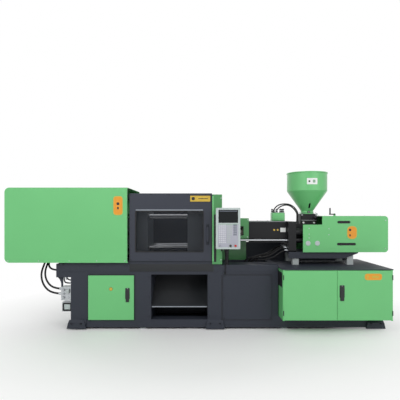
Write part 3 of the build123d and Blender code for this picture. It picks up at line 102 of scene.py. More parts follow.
def plug(tree, socket, value):
    """Sets a socket's own value, or links a wire to it."""
    if isinstance(value, Wire):
        tree.links.new(value.socket, socket)
    else:
        socket.default_value = value


# %% [markdown]
# All finishes start the same way: a Principled shader whose fixed numbers are set on its own sockets, and a
# Texture Coordinate node that reads Object coordinates, so that a grain keeps its real size on every piece.

# %% Start of every finish
def linear(code):
    """The colour that a web code such as 67bb74 stands for, as Blender's linear values."""
    parts = [int(code[place:place + 2], 16) / 255 for place in (0, 2, 4)]
    return [part / 12.92 if part <= 0.04045 else ((part + 0.055) / 1.055) ** 2.4 for part in parts] + [1.0]


def shaded(colour, factor):
    """A lighter or darker share of a colour."""
    return [min(1.0, part * factor) for part in colour[:3]] + [1.0]


class Finish:
    """A material in the making: shader is its Principled node, place its Object coordinates."""

    def __init__(self, name, colour, roughness, metallic=0.0, **fixed):
        self.material = bpy.data.materials.new(name)
        self.material.use_nodes = True
        self.tree = self.material.node_tree
        self.shader = self.tree.nodes["Principled BSDF"]
        self.colour = colour
        self.shader.inputs["Base Color"].default_value = colour
        self.shader.inputs["Roughness"].default_value = roughness
        self.shader.inputs["Metallic"].default_value = metallic
        for socket, value in fixed.items():
            self.shader.inputs[socket.replace("_", " ")].default_value = value
        self.wire = Wire(self.tree)
        self.place = self.wire.add("TexCoord", outlet="Object")
        self.material.diffuse_color = colour

    def noise(self, scale, detail=2.0, stretch=(1, 1, 1)):
        """Fine or coarse unevenness, its grain drawn out along the axes with a small stretch."""
        spot = self.wire.add("Mapping", {}, {"Vector": self.place, "Scale": stretch})
        return self.wire.add("TexNoise", {}, {"Vector": spot, "Scale": scale, "Detail": detail})

    def tone(self, amount, spread):
        """Lets the base colour wander between a darker and a lighter share of itself."""
        mixed = self.wire.add("Mix", {"data_type": "RGBA"}, {
            "Factor": amount, "A": shaded(self.colour, 1 - spread), "B": shaded(self.colour, 1 + spread),
        }, outlet="Result")
        self.feed("Base Color", mixed)

    def bump(self, height, depth):
        """Raises the surface by depth metres where height is 1."""
        raised = self.wire.add("Bump", {}, {"Height": height, "Distance": depth, "Strength": 1.0})
        self.feed("Normal", raised)

    def feed(self, socket, value):
        plug(self.tree, self.shader.inputs[socket], value)


print("the covers' green is", [round(part, 3) for part in linear("67bb74")])

# %% [markdown]
# Sheet-metal covers are sprayed and baked. Baked paint is smooth but not flat: seen close, it has a fine
# orange-peel dimple, its gloss varies a little, and a large panel is never quite one tone. Two noises of
# different sizes give that, and the same recipe serves the green covers, the doors and the light grey
# parts.

# %% Painted sheet
def paint(name, code, roughness=0.38, peel=0.00006, spread=0.04, coat=0.25, gloss=0.5):
    """Baked paint with orange peel of the given depth in metres."""
    made = Finish(name, linear(code), roughness, Coat_Weight=coat, Coat_Roughness=0.25,
                  Specular_IOR_Level=gloss)
    cloud = made.noise(1.7, 3)
    dimples = made.noise(420, 2)
    made.tone(cloud, spread)
    made.feed("Roughness", cloud * 0.16 + (roughness - 0.08))
    made.bump(dimples, peel)
    return made.material


cover_green = paint("cover_green", "67bb74")
# Painted shade: the guards' green is the covers' green made darker, because these guards stand in shade
shaded_guard_green = paint("shaded_guard_green", "448a4f")
light_paint = paint("light_paint", "a9b0b0", 0.4)
door_paint = paint("door_paint", "2f333e", 0.48, 0.0001, coat=0.05, gloss=0.35)
frame_paint = paint("frame_paint", "2b2f39", 0.55, 0.00022, spread=0.06, coat=0.0, gloss=0.35)
guard_black = paint("guard_black", "0f1013", 0.45, 0.00008, coat=0.0, gloss=0.3)
chute_paint = paint("chute_paint", "282a2d", 0.4, 0.00005, coat=0.0, gloss=0.3)
print("seven paints")

# %% [markdown]
# Castings such as the platens are shot-blasted before painting, so their skin is coarser than sheet metal.
# Two bumps on top of each other do it: the grain of the sand, and slow waves from the pattern.

# %% Painted casting
def casting(name, code, roughness):
    """Painted casting: sand grain with slow waves under it."""
    made = Finish(name, linear(code), roughness)
    sand = made.noise(260, 4)
    waves = made.noise(9, 2)
    made.tone(sand * 0.5 + waves * 0.5, 0.09)
    made.feed("Roughness", sand * 0.2 + (roughness - 0.1))
    made.bump(sand * 0.35 + waves, 0.0006)
    return made.material


platen_paint = casting("platen_paint", "8b929b", 0.5)
print("one casting paint")

# %% [markdown]
# Bare metal shows how it was worked. Turned and ground bars carry fine lines round them, milled and brushed
# faces carry lines along them. A noise squeezed along one axis gives such lines. It feeds the roughness and
# a very small bump, and hardly the colour, because steel is one colour all over.

# %% Bare metals
def metal(name, code, roughness, lines=(1, 1, 1), depth=0.00003, spread=0.05):
    """Bare metal whose tool marks run along the axes where lines is small, depth metres deep."""
    made = Finish(name, linear(code), roughness, 1.0)
    marks = made.noise(320, 3, lines)
    cloud = made.noise(6, 2)
    made.tone(marks * 0.6 + cloud * 0.4, spread)
    made.feed("Roughness", marks * 0.16 + cloud * 0.06 + (roughness - 0.11))
    made.bump(marks, depth)
    return made.material


machined_steel = metal("machined_steel", "9a9da1", 0.34, (0.12, 1, 1))
ground_bar = metal("ground_bar", "c9ccd0", 0.16, (6, 0.2, 0.2), 0.00001, 0.02)
zinc_plate = metal("zinc_plate", "b9bdc0", 0.36, spread=0.09)
black_oxide = metal("black_oxide", "33353a", 0.38)
band_steel = metal("band_steel", "8d8780", 0.4, (1, 0.3, 0.3), 0.00004, 0.12)
print("five metals")

# %% [markdown]
# Rubber and moulded plastics are dull where they are grained and glossy where they are polished. Hoses are
# matt with a faint weave under the cover, latches are grained, keys and button heads are smooth.

# %% Rubber and plastics
def plastic(name, code, roughness, grain=0.0, **fixed):
    """Rubber, plastic or film, with grain of the given depth in metres unless it is polished."""
    made = Finish(name, linear(code), roughness, **fixed)
    cloud = made.noise(11, 2)
    made.tone(cloud, 0.05)
    made.feed("Roughness", cloud * 0.12 + (roughness - 0.06))
    if grain:
        made.bump(made.noise(700, 3), grain)
    return made.material


hose_rubber = plastic("hose_rubber", "0d0d0f", 0.62, 0.00018, Specular_IOR_Level=0.35)
seal_rubber = plastic("seal_rubber", "121215", 0.7, 0.0001)
latch_plastic = plastic("latch_plastic", "15171a", 0.45, 0.00008)
console_plastic = plastic("console_plastic", "b4bfbe", 0.45, 0.00005)
keypad_film = plastic("keypad_film", "a5a6b2", 0.5, 0.00003)
key_film = plastic("key_film", "c3c4cb", 0.4, 0.00003)
key_dark = plastic("key_dark", "5d6470", 0.4, 0.00003)
screen_glass = plastic("screen_glass", "0b1114", 0.16, Specular_IOR_Level=0.25)
button_red = plastic("button_red", "b81f1c", 0.2, Coat_Weight=0.6)
button_black = plastic("button_black", "131315", 0.25, Coat_Weight=0.6)
label_yellow = plastic("label_yellow", "c9a93c", 0.35)
label_orange = plastic("label_orange", "e09528", 0.35)
label_white = plastic("label_white", "e6e8e6", 0.4)
label_grey = plastic("label_grey", "7fa488", 0.45)
label_black = plastic("label_black", "18181a", 0.4)
print("fifteen plastics and films")

# %% [markdown]
# The sliding doors have clear safety panes. The dark inside of the machine behind them is painted into the
# pane as shade: a near-black tint that is only partly see-through. A see-through Alpha on a smooth surface
# is enough for a flat sheet, and it needs no bending of light.

# %% Door panes
def clear_pane():
    """Clear sheet with painted shade: a near-black tint, only partly see-through, with faint smears."""
    made = Finish("clear_pane", linear("11161d"), 0.1, Specular_IOR_Level=0.3)
    smears = made.noise(5, 3)
    made.feed("Roughness", smears * 0.08 + 0.05)
    made.feed("Alpha", smears * 0.06 + 0.42)
    return made.material


pane_sheet = clear_pane()
print("pane finish", pane_sheet.name)

# %% [markdown]
# Every solid gets its finish by name. The table reads like a paint schedule: one finish, then all the
# solids that a paint shop would give it.

# %% Paint schedule for the solids
schedule = (
    (cover_green, "clamp_cover injection_cover electric_cabinet cabinet_door_left cabinet_door_right "
                  "base_door hopper junction_box"),
    # The guards get the darker green, which is painted shade on the covers' paint
    (shaded_guard_green, "platen_guard purge_guard purge_stand"),
    (door_paint, "front_door rear_door rear_door_pane"),
    (frame_paint, "clamp_bed injection_bed deck carriage door_rails"),
    (chute_paint, "product_chute"),
    (guard_black, "barrel_guard hopper_base feed_block hydraulic_cylinders controller_post cover_crank"),
    (light_paint, "clamp_cylinder hydraulic_motor power_unit switchgear carriage_guides"),
    (platen_paint, "fixed_platen moving_platen tail_platen screw_drive"),
    (machined_steel, "barrel nozzle screw crosshead upper_rear_link upper_front_link upper_crosshead_link "
                     "lower_rear_link lower_front_link lower_crosshead_link"),
    (ground_bar, "tie_bars carriage_rods ejector_rod"),
    (zinc_plate, "levelling_feet oil_manifold hopper_gate"),
    (band_steel, "heater_bands"),
    (latch_plastic, "base_latch cabinet_latch"),
    (console_plastic, "controller"),
    (button_red, "stop_button"),
    (button_black, "start_button"),
    (pane_sheet, "front_door_pane"),
    (hose_rubber, "clamp_hoses carriage_hoses"),
)
for material, names in schedule:
    for name in names.split():
        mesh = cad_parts[name].data
        mesh.materials.clear()
        mesh.materials.append(material)
painted = {name for _, names in schedule for name in names.split()}
print("unpainted:", sorted(set(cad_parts) - painted))

# %% [markdown]
# The drawing of such a machine counts in millimetres from the machine's own axis, and the pieces below do
# the same. `metres` turns a place on the drawing into a point of the scene, and `on` stands a shape there:
# the shape is modelled lying on its back, and its own upright then points the way it faces. The bed, the
# sliding doors, the clamp cover and the injection cover reach the same distance to the front and to the
# rear.

# %% Places on the machine
axis_y = 98.5
FRONT, REAR, UP = (0, -1, 0), (0, 1, 0), (0, 0, 1)
DOWN, LEFT, RIGHT = (0, 0, -1), (-1, 0, 0), (1, 0, 0)
bed_y, door_y, cover_y, hood_y = 420, 440, 470, 280


def metres(x, y, z):
    """A place on the drawing as a point of the scene."""
    return Vector((x, y + axis_y, z)) / 1000


def on(x, y, z, way=FRONT, turn=0.0):
    """Stands a shape that is drawn in millimetres on a place, facing a way and turned by turn degrees."""
    stand = Vector(way).to_track_quat("Z", "Y").to_matrix().to_4x4()
    spin = Matrix.Rotation(math.radians(turn), 4, "Z")
    return Matrix.Translation(metres(x, y, z)) @ stand @ spin @ Matrix.Scale(0.001, 4)


print("machine axis at", metres(0, 0, 0))

# %% [markdown]
# A hose is a fixed length of something stiff that bows under its own weight. A smooth NURBS curve does this
# with few points: the curve leaves its end fitting straight, and the points in between pull it down. Each
# hose is its own curve, so that its length can be checked, and all of them stand for the plain tubes of the
# solids. The thickness is each point's own radius times a depth of 1, because Blender's box round a curve
# counts the points' radii.

# %% Hoses of the clamp
def enter(name, data, body):
    """Puts a finished piece into the scene, on the body that carries it."""
    made = bpy.data.objects.new(name, data)
    bpy.context.collection.objects.link(made)
    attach(made, body)
    return made


def hose(name, body, points, radius):
    """Hose along a smooth line, with points on the drawing, in the place of the body's plain tubes."""
    line = bpy.data.curves.new(name, "CURVE")
    line.dimensions = "3D"
    line.resolution_u = 8
    spline = line.splines.new("NURBS")
    spline.points.add(len(points) - 1)
    for point, place in zip(spline.points, points):
        point.co = (*metres(*place), 1)
        point.radius = radius / 1000
    spline.order_u = 3
    spline.use_endpoint_u = True
    line.bevel_depth = 1.0
    line.bevel_resolution = 3
    line.use_fill_caps = True
    line.materials.append(hose_rubber)
    return enter(name, line, body)


def run_of(made):
    """The points that a hose's line follows, read from its curve without its thickness."""
    thickness = made.data.bevel_depth
    made.data.bevel_depth = 0
    bare = bpy.data.meshes.new_from_object(made)
    made.data.bevel_depth = thickness
    points = [vertex.co.copy() for vertex in bare.vertices]
    bpy.data.meshes.remove(bare)
    return points


def length_of(points):
    """The length of the line through the points."""
    return sum((after - before).length for before, after in zip(points, points[1:]))


def declare(made, places, node, path=None):
    """Prints the length of a hose and hides the plain tubes of the solid node that it stands for."""
    points = path or run_of(made)
    tuple(metres(*places[0]))
    round(length_of(points), 3)
    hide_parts(node)
    print(made.name, round(length_of(points) * 1000), "mm")


clamp_port = 1101.7
manifold_end = -1752.3
main_radius, lead_radius = 12.0, 9.0
clamp_hose_routes = (
    (main_radius, (
        (-2000, -15, clamp_port), (-2000, -15, 1020), (-2008, -105, 925), (-2025, -225, 800),
        (-2042, -305, 670), (-1995, -335, 530), (-1885, -338, 432), (manifold_end, -338, 430))),
    (main_radius, (
        (-1960, -15, clamp_port), (-1960, -15, 1020), (-1970, -100, 930), (-1988, -205, 810),
        (-2002, -280, 690), (-1965, -300, 570), (-1870, -303, 487), (manifold_end, -303, 485))),
    (main_radius, (
        (-1920, -15, clamp_port), (-1920, -15, 1025), (-1932, -90, 950), (-1958, -180, 865),
        (-1970, -245, 780), (-1905, -274, 720), (-1800.3, -274, 720))),
    (lead_radius, ((-1700, -325, 649.7), (-1700, -325, 630), (-1672, -324, 600), (-1617.3, -324, 600))),
    (lead_radius, ((-1735, -325, 649.7), (-1735, -325, 590), (-1707, -324, 560), (-1617.3, -324, 560))),
)
for number, (radius, places) in enumerate(clamp_hose_routes, 1):
    made = hose(f"clamp_hose_{number}", "machine", places, radius)
    declare(made, places, "clamp_hoses")

# %% [markdown]
# The hoses of the injection unit ride with its carriage. They could lie straight, but then the carriage
# would pull them tight, so all six hang in bows that dip into the bed's well. Four are alike and share one
# route, and the two in front have bows of their own.

# %% Hoses of the carriage
port_end = 1149.7
well_floor = 745.3
carriage_hose_routes = [
    ((port_end, y, port), (1069.7, y, port), (949.7, y - 4, hang + 40), (reach + 110, y * 0.92, hang),
     (reach, y * 0.86, well_floor + 85), (reach, y * 0.85, well_floor))
    for y, port, reach, hang in ((-95, 1010, 640, 880), (-35, 985, 700, 858), (30, 1015, 760, 884),
                                 (90, 990, 670, 866))
]
carriage_hose_routes += [
    ((port_end, -150, 1000), (1069.7, -150, 1000), (960, -176, 918), (850, -176, 872), (712, -150, 868),
     (606, -112, 846), (598, -103, 800), (598, -103, well_floor)),
    ((port_end, -185, 968), (1079.7, -185, 965), (985, -206, 888), (870, -210, 850), (776, -182, 838),
     (700, -126, 842), (669, -103, 796), (669, -103, well_floor)),
]
for number, places in enumerate(carriage_hose_routes, 1):
    made = hose(f"carriage_hose_{number}", "carriage", places, lead_radius)
    declare(made, places, "carriage_hoses")

# %% [markdown]
# The two leads over the barrel guard run in corrugated conduit. Its rings can't come from a curve's
# thickness, so a thin line is laid first, and then circles of two sizes are set along it by turns and each
# is bridged to the next. The line that they follow is the curve's own, read back from Blender.

# %% Corrugated conduits
crest, valley = lead_radius / 1000, 0.0074
pitch = 0.0032


def evenly(line):
    """Points along a line, one pitch apart."""
    marks = [line[0]]
    carried = 0.0
    for before, after in zip(line, line[1:]):
        step = (after - before).length
        while carried + step >= pitch:
            before = before.lerp(after, (pitch - carried) / step)
            step = (after - before).length
            carried = 0.0
            marks.append(before)
        carried += step
    return marks


def conduit(name, body, places):
    """Corrugated tube along a route on the drawing: rings of two radii by turns, a pitch apart."""
    guide = hose(name + "_line", body, places, 1.0)
    line = run_of(guide)
    bpy.data.objects.remove(guide)
    marks = evenly(line)
    tube = bmesh.new()
    ring = None
    for number, mark in enumerate(marks):
        ahead = marks[min(number + 1, len(marks) - 1)] - marks[max(number - 1, 0)]
        stand = Matrix.Translation(mark) @ ahead.to_track_quat("Z", "Y").to_matrix().to_4x4()
        radius = (crest, valley)[number // 2 % 2]
        circle = bmesh.ops.create_circle(tube, segments=12, radius=radius, matrix=stand)["verts"]
        edges = list({edge for vertex in circle for edge in vertex.link_edges if edge.is_wire})
        if ring:
            bmesh.ops.bridge_loops(tube, edges=ring + edges)
        ring = edges
    bmesh.ops.holes_fill(tube, edges=[edge for edge in tube.edges if edge.is_boundary])
    bmesh.ops.recalc_face_normals(tube, faces=tube.faces)
    for face in tube.faces:
        face.smooth = True
    mesh = bpy.data.meshes.new(name)
    tube.to_mesh(mesh)
    tube.free()
    mesh.materials.append(hose_rubber)
    mesh.set_sharp_from_angle(angle=math.radians(50))
    return enter(name, mesh, body), line


conduit_rows = ((-30, 0), (15, -14))
conduit_start, conduit_end = 1028, 1322
box_port, block_port = 1462.3, 1310.3
for number, (y, rise) in enumerate(conduit_rows, 1):
    up, down = conduit_start + y, conduit_end
    places = ((up, y, box_port), (up, y, 1522 + rise), (up + 90, y + 3, 1582 + rise),
              (down - 90, y - 3, 1577 + rise), (down, y, 1482 + rise), (down, y + 2, 1402),
              (down, y + 2, block_port))
    made, line = conduit(f"conduit_{number}", "carriage", places)
    declare(made, places, "carriage_hoses", path=line)

# %% [markdown]
# The small parts are modelled as shapes that lie on their backs, in millimetres. A `Piece` collects them:
# each shape is copied to the places where it is wanted, and the finished piece rides on the body that
# carries it. One mesh for all the screws of a cover is easier to follow than fifty objects.

# %% Pieces made of small shapes
class Piece:
    """A piece in the making, on the body that carries it."""

    def __init__(self, name, body, slot):
        self.mesh = bpy.data.meshes.new(name)
        self.form = bmesh.new()
        self.body = body
        self.slot = slot
        self.finishes = []

    def lay(self, shape, finish, *places):
        """Lays a copy of the shape, in one finish, at each place."""
        if finish not in self.finishes:
            self.finishes.append(finish)
            self.mesh.materials.append(finish)
        for face in shape.faces:
            face.material_index = self.finishes.index(finish)
            face.smooth = True
        scrap = bpy.data.meshes.new("scrap")
        for place in places:
            copy = shape.copy()
            copy.transform(place)
            copy.to_mesh(scrap)
            copy.free()
            self.form.from_mesh(scrap)
        shape.free()
        bpy.data.meshes.remove(scrap)

    def done(self):
        """Turns the shapes into one object, with its steeper edges kept crisp."""
        self.form.to_mesh(self.mesh)
        self.form.free()
        self.mesh.set_sharp_from_angle(angle=math.radians(32))
        enter(self.mesh.name, self.mesh, self.body)
        print(self.mesh.name, len(self.mesh.polygons), "faces on", self.body)


# %% [markdown]
# Most trim is cut from plate. A cube is scaled to the plate's size, a bevel of its four upright edges
# rounds the corners, and a second small bevel takes the sharpness off the front, which catches the light.

# %% Plates and frames
def bevel(shape, edges, size, steps=2):
    """Rounds some edges of a shape."""
    bmesh.ops.bevel(shape, geom=edges, offset=size, segments=steps, profile=0.5, affect="EDGES",
                    material=-1)


def top_edges(shape, thick):
    """The edges of a shape that lie in its top, which is thick millimetres up."""
    return [edge for edge in shape.edges if min(vertex.co.z for vertex in edge.verts) > thick * 0.99]


def plate(width, height, thick, corner=0.0, rim=0.0, steps=3):
    """Plate on its back with its middle at the origin."""
    shape = bmesh.new()
    bmesh.ops.create_cube(shape, size=1)
    bmesh.ops.scale(shape, vec=(width, height, thick), verts=shape.verts)
    bmesh.ops.translate(shape, vec=(0, 0, thick / 2), verts=shape.verts)
    if corner:
        upright = [edge for edge in shape.edges
                   if abs(edge.verts[0].co.z - edge.verts[1].co.z) > thick / 2]
        bevel(shape, upright, corner, steps)
    if rim:
        bevel(shape, top_edges(shape, thick), rim)
    return shape


def frame_strip(width, height, band, thick, corner=0.0):
    """Flat frame round an opening: a rounded face loses its inset middle, then gets its thickness."""
    shape = bmesh.new()
    bmesh.ops.create_grid(shape, x_segments=1, y_segments=1, size=0.5)
    bmesh.ops.scale(shape, vec=(width, height, 1), verts=shape.verts)
    if corner:
        bmesh.ops.bevel(shape, geom=shape.verts[:], offset=corner, segments=4, profile=0.5,
                        affect="VERTICES", material=-1)
    middle = shape.faces[:]
    bmesh.ops.inset_region(shape, faces=middle, thickness=band, use_boundary=True, use_even_offset=True)
    bmesh.ops.delete(shape, geom=middle, context="FACES")
    raised = bmesh.ops.extrude_face_region(shape, geom=shape.faces[:])["geom"]
    moved = [part for part in raised if isinstance(part, bmesh.types.BMVert)]
    bmesh.ops.translate(shape, vec=(0, 0, thick), verts=moved)
    bmesh.ops.recalc_face_normals(shape, faces=shape.faces)
    return shape


print("plate and frame_strip ready")

# %% [markdown]
# Round parts are turned: half an outline, given as radius and height, is spun a full circle about its axis.
# Screws have a head with a sunk socket, which is an inset of the top face pushed down.

# %% Turned parts, nuts and screws
def turned(*outline, sides=20):
    """Turned part from an outline of (radius, height) points, closed at both ends."""
    shape = bmesh.new()
    points = [shape.verts.new((radius, 0, height)) for radius, height in outline]
    line = [shape.edges.new(pair) for pair in zip(points, points[1:])]
    bmesh.ops.spin(shape, geom=points + line, cent=(0, 0, 0), axis=(0, 0, 1), angle=math.tau, steps=sides,
                   use_merge=True)
    bmesh.ops.remove_doubles(shape, verts=shape.verts, dist=0.0001)
    bmesh.ops.holes_fill(shape, edges=[edge for edge in shape.edges if edge.is_boundary])
    bmesh.ops.recalc_face_normals(shape, faces=shape.faces)
    return shape


def nut(across, thick):
    """Hexagon nut or head with its upper corners eased."""
    shape = bmesh.new()
    radius = across / math.sqrt(3)
    bmesh.ops.create_cone(shape, cap_ends=True, segments=6, radius1=radius, radius2=radius, depth=thick)
    bmesh.ops.translate(shape, vec=(0, 0, thick / 2), verts=shape.verts)
    bevel(shape, top_edges(shape, thick), across * 0.06, 1)
    return shape


def screw_head(size, height=None):
    """Head of a socket screw whose thread has the given diameter."""
    height = height or size * 0.6
    shape = bmesh.new()
    bmesh.ops.create_cone(shape, cap_ends=True, segments=12, radius1=size * 0.85, radius2=size * 0.8,
                          depth=height)
    bmesh.ops.translate(shape, vec=(0, 0, height / 2), verts=shape.verts)
    top = [face for face in shape.faces if face.normal.z > 0.9]
    bmesh.ops.inset_region(shape, faces=top, thickness=size * 0.36)
    sunk = bmesh.ops.extrude_discrete_faces(shape, faces=top)["faces"]
    bmesh.ops.translate(shape, vec=(0, 0, -height * 0.6),
                        verts=[vertex for face in sunk for vertex in face.verts])
    return shape


print("turned, nut and screw_head ready")

# %% [markdown]
# A hose ends in a crimped ferrule and a swivel nut on a screwed port. The ferrule could be a plain ring,
# but the two grooves that the crimping press leaves are what makes it look pressed on, so they are in its
# outline.

# %% Hose fittings
def ferrule(radius, nut_across):
    """Ferrule and nut, drawn standing on the port with the hose leaving upwards."""
    fit = radius + 0.4
    wall, groove = fit + 3.4, fit + 2.2
    return (turned((fit, 14), (wall, 14), (wall, 22), (groove, 24), (wall, 26), (wall, 32), (groove, 34),
                   (wall, 36), (wall, 42), (fit + 0.6, 44), (fit, 44), sides=18),
            nut(nut_across, 14))


def toward(place, ahead):
    """The way from one place on the drawing to the next."""
    return tuple((Vector(ahead) - Vector(place)).normalized())


fittings = Piece("clamp_hose_fittings", "machine", "zinc_steel")
for radius, places in clamp_hose_routes:
    for place, ahead in ((places[0], places[1]), (places[-1], places[-2])):
        for shape in ferrule(radius, radius * 3):
            fittings.lay(shape, zinc_plate, on(*place, way=toward(place, ahead)))
fittings.done()
fittings = Piece("carriage_hose_fittings", "carriage", "zinc_steel")
for places in carriage_hose_routes:
    for shape in ferrule(lead_radius, 27):
        fittings.lay(shape, zinc_plate, on(*places[0], way=LEFT))
fittings.done()

# %% [markdown]
# The conduits end in the same ferrules. The other leads enter the junction box through tall black glands,
# each with a bright nut on the lid and a bright ring round its waist, which give the row its stripes.

# %% Conduit glands
lid_top = 1462
glands = Piece("conduit_glands", "carriage", "latch_black")
for y, _ in conduit_rows:
    for shape in ferrule(lead_radius, 30):
        glands.lay(shape, latch_plastic, on(conduit_start + y, y, box_port, UP),
                   on(conduit_end, y + 2, block_port, UP))
for x, y in ((985, 30), (1036, -45), (1082, -45), (1122, -45), (1118, 20)):
    glands.lay(turned((0, 0), (12, 0), (12, 20), (9, 26), (9, 34), (11, 36), (11, 48), (8, 52), (0, 52)),
               latch_plastic, on(x, y, lid_top, UP))
    glands.lay(nut(26, 7), zinc_plate, on(x, y, lid_top, UP))
    glands.lay(turned((9, 0), (10.6, 0), (10.6, 7), (9, 7), (9, 0)), zinc_plate, on(x, y, lid_top + 27, UP))
glands.done()

# %% [markdown]
# The small fields of colour on the covers are thin cards with rounded corners. One coloured plate would
# look painted on, so each card has an edge colour, a smaller field on it, and a few plain bars on that for
# rhythm.

# %% Fields of colour on the clamp cover and the front door
def shifted(place, x, y, z):
    """A place moved along its own axes, in millimetres."""
    return place @ Matrix.Translation((x, y, z))


def field(piece, width, height, place, edge, fill, bars=(), mark=None, corner=0.08):
    """Card at a place, with bars given as (x, y, width, height), in the mark's or else the edge's colour."""
    short = min(width, height)
    border = short * 0.07
    inner = shifted(place, 0, 0, 0.5)
    piece.lay(plate(width, height, 0.8, short * corner), edge, place)
    piece.lay(plate(width - 2 * border, height - 2 * border, 0.7, short * corner * 0.8), fill, inner)
    for x, y, bar_width, bar_height in bars:
        piece.lay(plate(bar_width, bar_height, 0.5, min(bar_width, bar_height) * 0.3), mark or edge,
                  shifted(inner, x, y, 0.5))


patch = Piece("clamp_cover_patch", "machine", "cover_green")
field(patch, 118, 236, on(-1016, -cover_y, 1546), label_yellow, label_orange,
      ((0, 24, 34, 34), (0, -30, 22, 30)), label_black, 0.3)
patch.done()
strip = Piece("door_strip", "front_door", "door_grey")
field(strip, 262, 84, on(3, -door_y, 1634), label_black, label_yellow, ((-88, 0, 40, 40), (36, 0, 120, 8)))
strip.done()

# %% [markdown]
# The window of a sliding door is held by a rubber section, and the front one has a bright trim along its
# upper edge. The rear door has pressed sheet in the same place. A rubber edge, a handle's feet and screws
# complete each door. Both doors are alike, so one loop dresses them, front first. Screws stand in rows, so
# `grid` gives the places at every crossing of a few coordinates.

# %% Door seals, trims and screws
def grid(xs, ys, zs, way=FRONT):
    """Places at every crossing of the coordinates, each of which is one number or several."""
    xs, ys, zs = [part if hasattr(part, "__iter__") else (part,) for part in (xs, ys, zs)]
    return [on(x, y, z, way) for x in xs for y in ys for z in zs]


def both_sides(reach):
    """The front and the rear, each with its y at a reach from the machine's axis."""
    return (FRONT, -reach), (REAR, reach)


window_x, window_z = -381.5, 1224.5
handle_x = 95
for door, (side, y) in zip(("front_door", "rear_door"), both_sides(door_y)):
    seal = Piece(door + "_seal", door, "latch_black")
    seal.lay(frame_strip(857, 519, 12, 3.5, 18), seal_rubber, on(window_x, y, window_z, side))
    if side == FRONT:
        seal.lay(plate(838, 13, 4, 2, 1), platen_paint, on(window_x, y, 1492, side))
    seal.lay(plate(6, 838, 6, 2.5, 1), seal_rubber, on(146, y, 1278, side))
    seal.lay(screw_head(7), black_oxide, *grid((-862, -610, -381, -150, 60), y, (872, 1684), side))
    seal.lay(plate(34, 66, 3, 5, 1), black_oxide, *grid(handle_x, y, (1092, 1288), side))
    seal.lay(screw_head(6, 3), black_oxide, *grid(handle_x, y + 3 * side[1], (1070, 1310), side))
    seal.done()

# %% [markdown]
# The controller is a moulded box with a screen behind glass, a membrane keypad and two push buttons. The
# keys are blank pads in groups, because a grid with gaps looks like a keyboard from any distance. Each
# group has its own tone. The screen glass is sunk a little and framed.

# %% Controller
film_y, key_y, collar_y = -619, -619.6, -619.4
screen_x, screen_z = 339, 1413.5
key_step, last_key = 23, 1308
button_z = 1060
panel = Piece("controller_panel", "controller", "panel_grey")
panel.lay(plate(243, 276, 0.8, 5, 0.3), keypad_film, on(338.5, film_y, 1181))
panel.lay(plate(230, 151, 1.5, 3, 0.5), screen_glass, on(screen_x, -617, screen_z))
panel.lay(frame_strip(238, 159, 5, 2.6, 5), seal_rubber, on(screen_x, -617.2, screen_z))
panel.lay(plate(212, 9, 0.5, 1), key_dark, on(screen_x, -618.4, 1476))
for columns, tone, first_key in (((234, 256, 278, 300), key_film, 1101), ((332, 354), light_paint, 1101),
                                 (376, light_paint, 1193), ((410, 432), key_dark, 1193)):
    rows = range(first_key, last_key + 1, key_step)
    panel.lay(plate(17, 16, 1.2, 3, 0.5), tone, *grid(columns, key_y, rows))
panel.lay(plate(238, 5, 0.6, 1), label_grey, on(338.5, key_y, 1319))
for x in (365, 426):
    panel.lay(turned((15.2, 0), (20, 0), (20, 2.5), (18.5, 4), (15.2, 4), (15.2, 0), sides=32), light_paint,
              on(x, collar_y, button_z))
panel.lay(turned((0, 0), (9, 0), (9, 3), (7.5, 4), (0, 4)), key_dark, on(240, collar_y, button_z))
panel.lay(plate(5, 14, 6, 1.5, 1), key_film, on(240, -623, button_z))
panel.lay(screw_head(5, 2.5), light_paint, *grid((202, 474), -620, (1029, 1507)))
panel.lay(plate(120, 5, 2, 2, 0.6), key_dark, *grid(338, -550, range(1340, 1470, 14), REAR))
panel.lay(turned((0, 0), (13, 0), (13, 10), (9, 16), (6.5, 16), (6.5, 30), (0, 30)), seal_rubber,
          *grid((300, 262), -585, 1020, DOWN))
panel.done()

# %% [markdown]
# A thin lead climbs from the bed to the controller's post beside it. It is clipped to the post and ends in
# a gland in the post's head, so the swivelling controller doesn't pull it.

# %% Controller lead
lead_places = ((312, -420.3, 700), (312, -436, 700), (312, -440, 730), (316, -434, 800), (318, -414, 870),
               (316, -404, 960), (316, -402, 1060), (318, -400, 1120))
lead = hose("controller_lead", "machine", lead_places, 5.0)
lead_length = length_of(run_of(lead))
tuple(metres(*lead_places[0]))
print("controller lead", round(lead_length * 1000), "mm")
clips = Piece("lead_clips", "machine", "latch_black")
clips.lay(turned((0, 0), (11, 0), (11, 7), (8, 12), (5.5, 12), (5.5, 16), (0, 16)), latch_plastic,
          on(312, -420, 700))
for z in (960, 1060):
    clips.lay(turned((24.2, 0), (26, 0), (26, 9), (24.2, 9), (24.2, 0), sides=32), latch_plastic,
              on(338, -385, z, UP))
    clips.lay(plate(18, 9, 15, 3, 1), latch_plastic, on(317, -398, z + 5, (-0.8, -0.6, 0)))
clips.done()

# %% [markdown]
# The guard beside the doors has a strip of the lighter cover green along its edge towards the door, a
# painted highlight, and a dark strip beside it, which is painted shade where a recess lies in shadow. Its
# screws sit in a column, and the same screws hold the guard at the rear and on top.

# %% Platen guard trim
trim = Piece("platen_guard_trim", "machine", "cover_green")
for side, y in both_sides(door_y):
    # Painted highlight: lighter green strip along the guard's edge towards the door
    trim.lay(plate(17, 812, 2.2, 2, 0.8), cover_green, on(162, y, 1260, side))
    # Painted shade: dark strip for the shadow in a recess beside the edge
    trim.lay(plate(30, 590, 1.6, 3, 0.5), seal_rubber, on(189, y, 1140, side))
    trim.lay(screw_head(8), zinc_plate, *grid(262, y, (872, 1060, 1250, 1440, 1640), side))
trim.lay(screw_head(8), zinc_plate, *grid(213, (-390, -130, 130, 390), 1686, UP))
trim.done()

# %% [markdown]
# The purge guard swings up on a hinge at its rear and has a grip at the front. Its hinge pins are short
# turned bars, and a rubber frame goes round its small window.

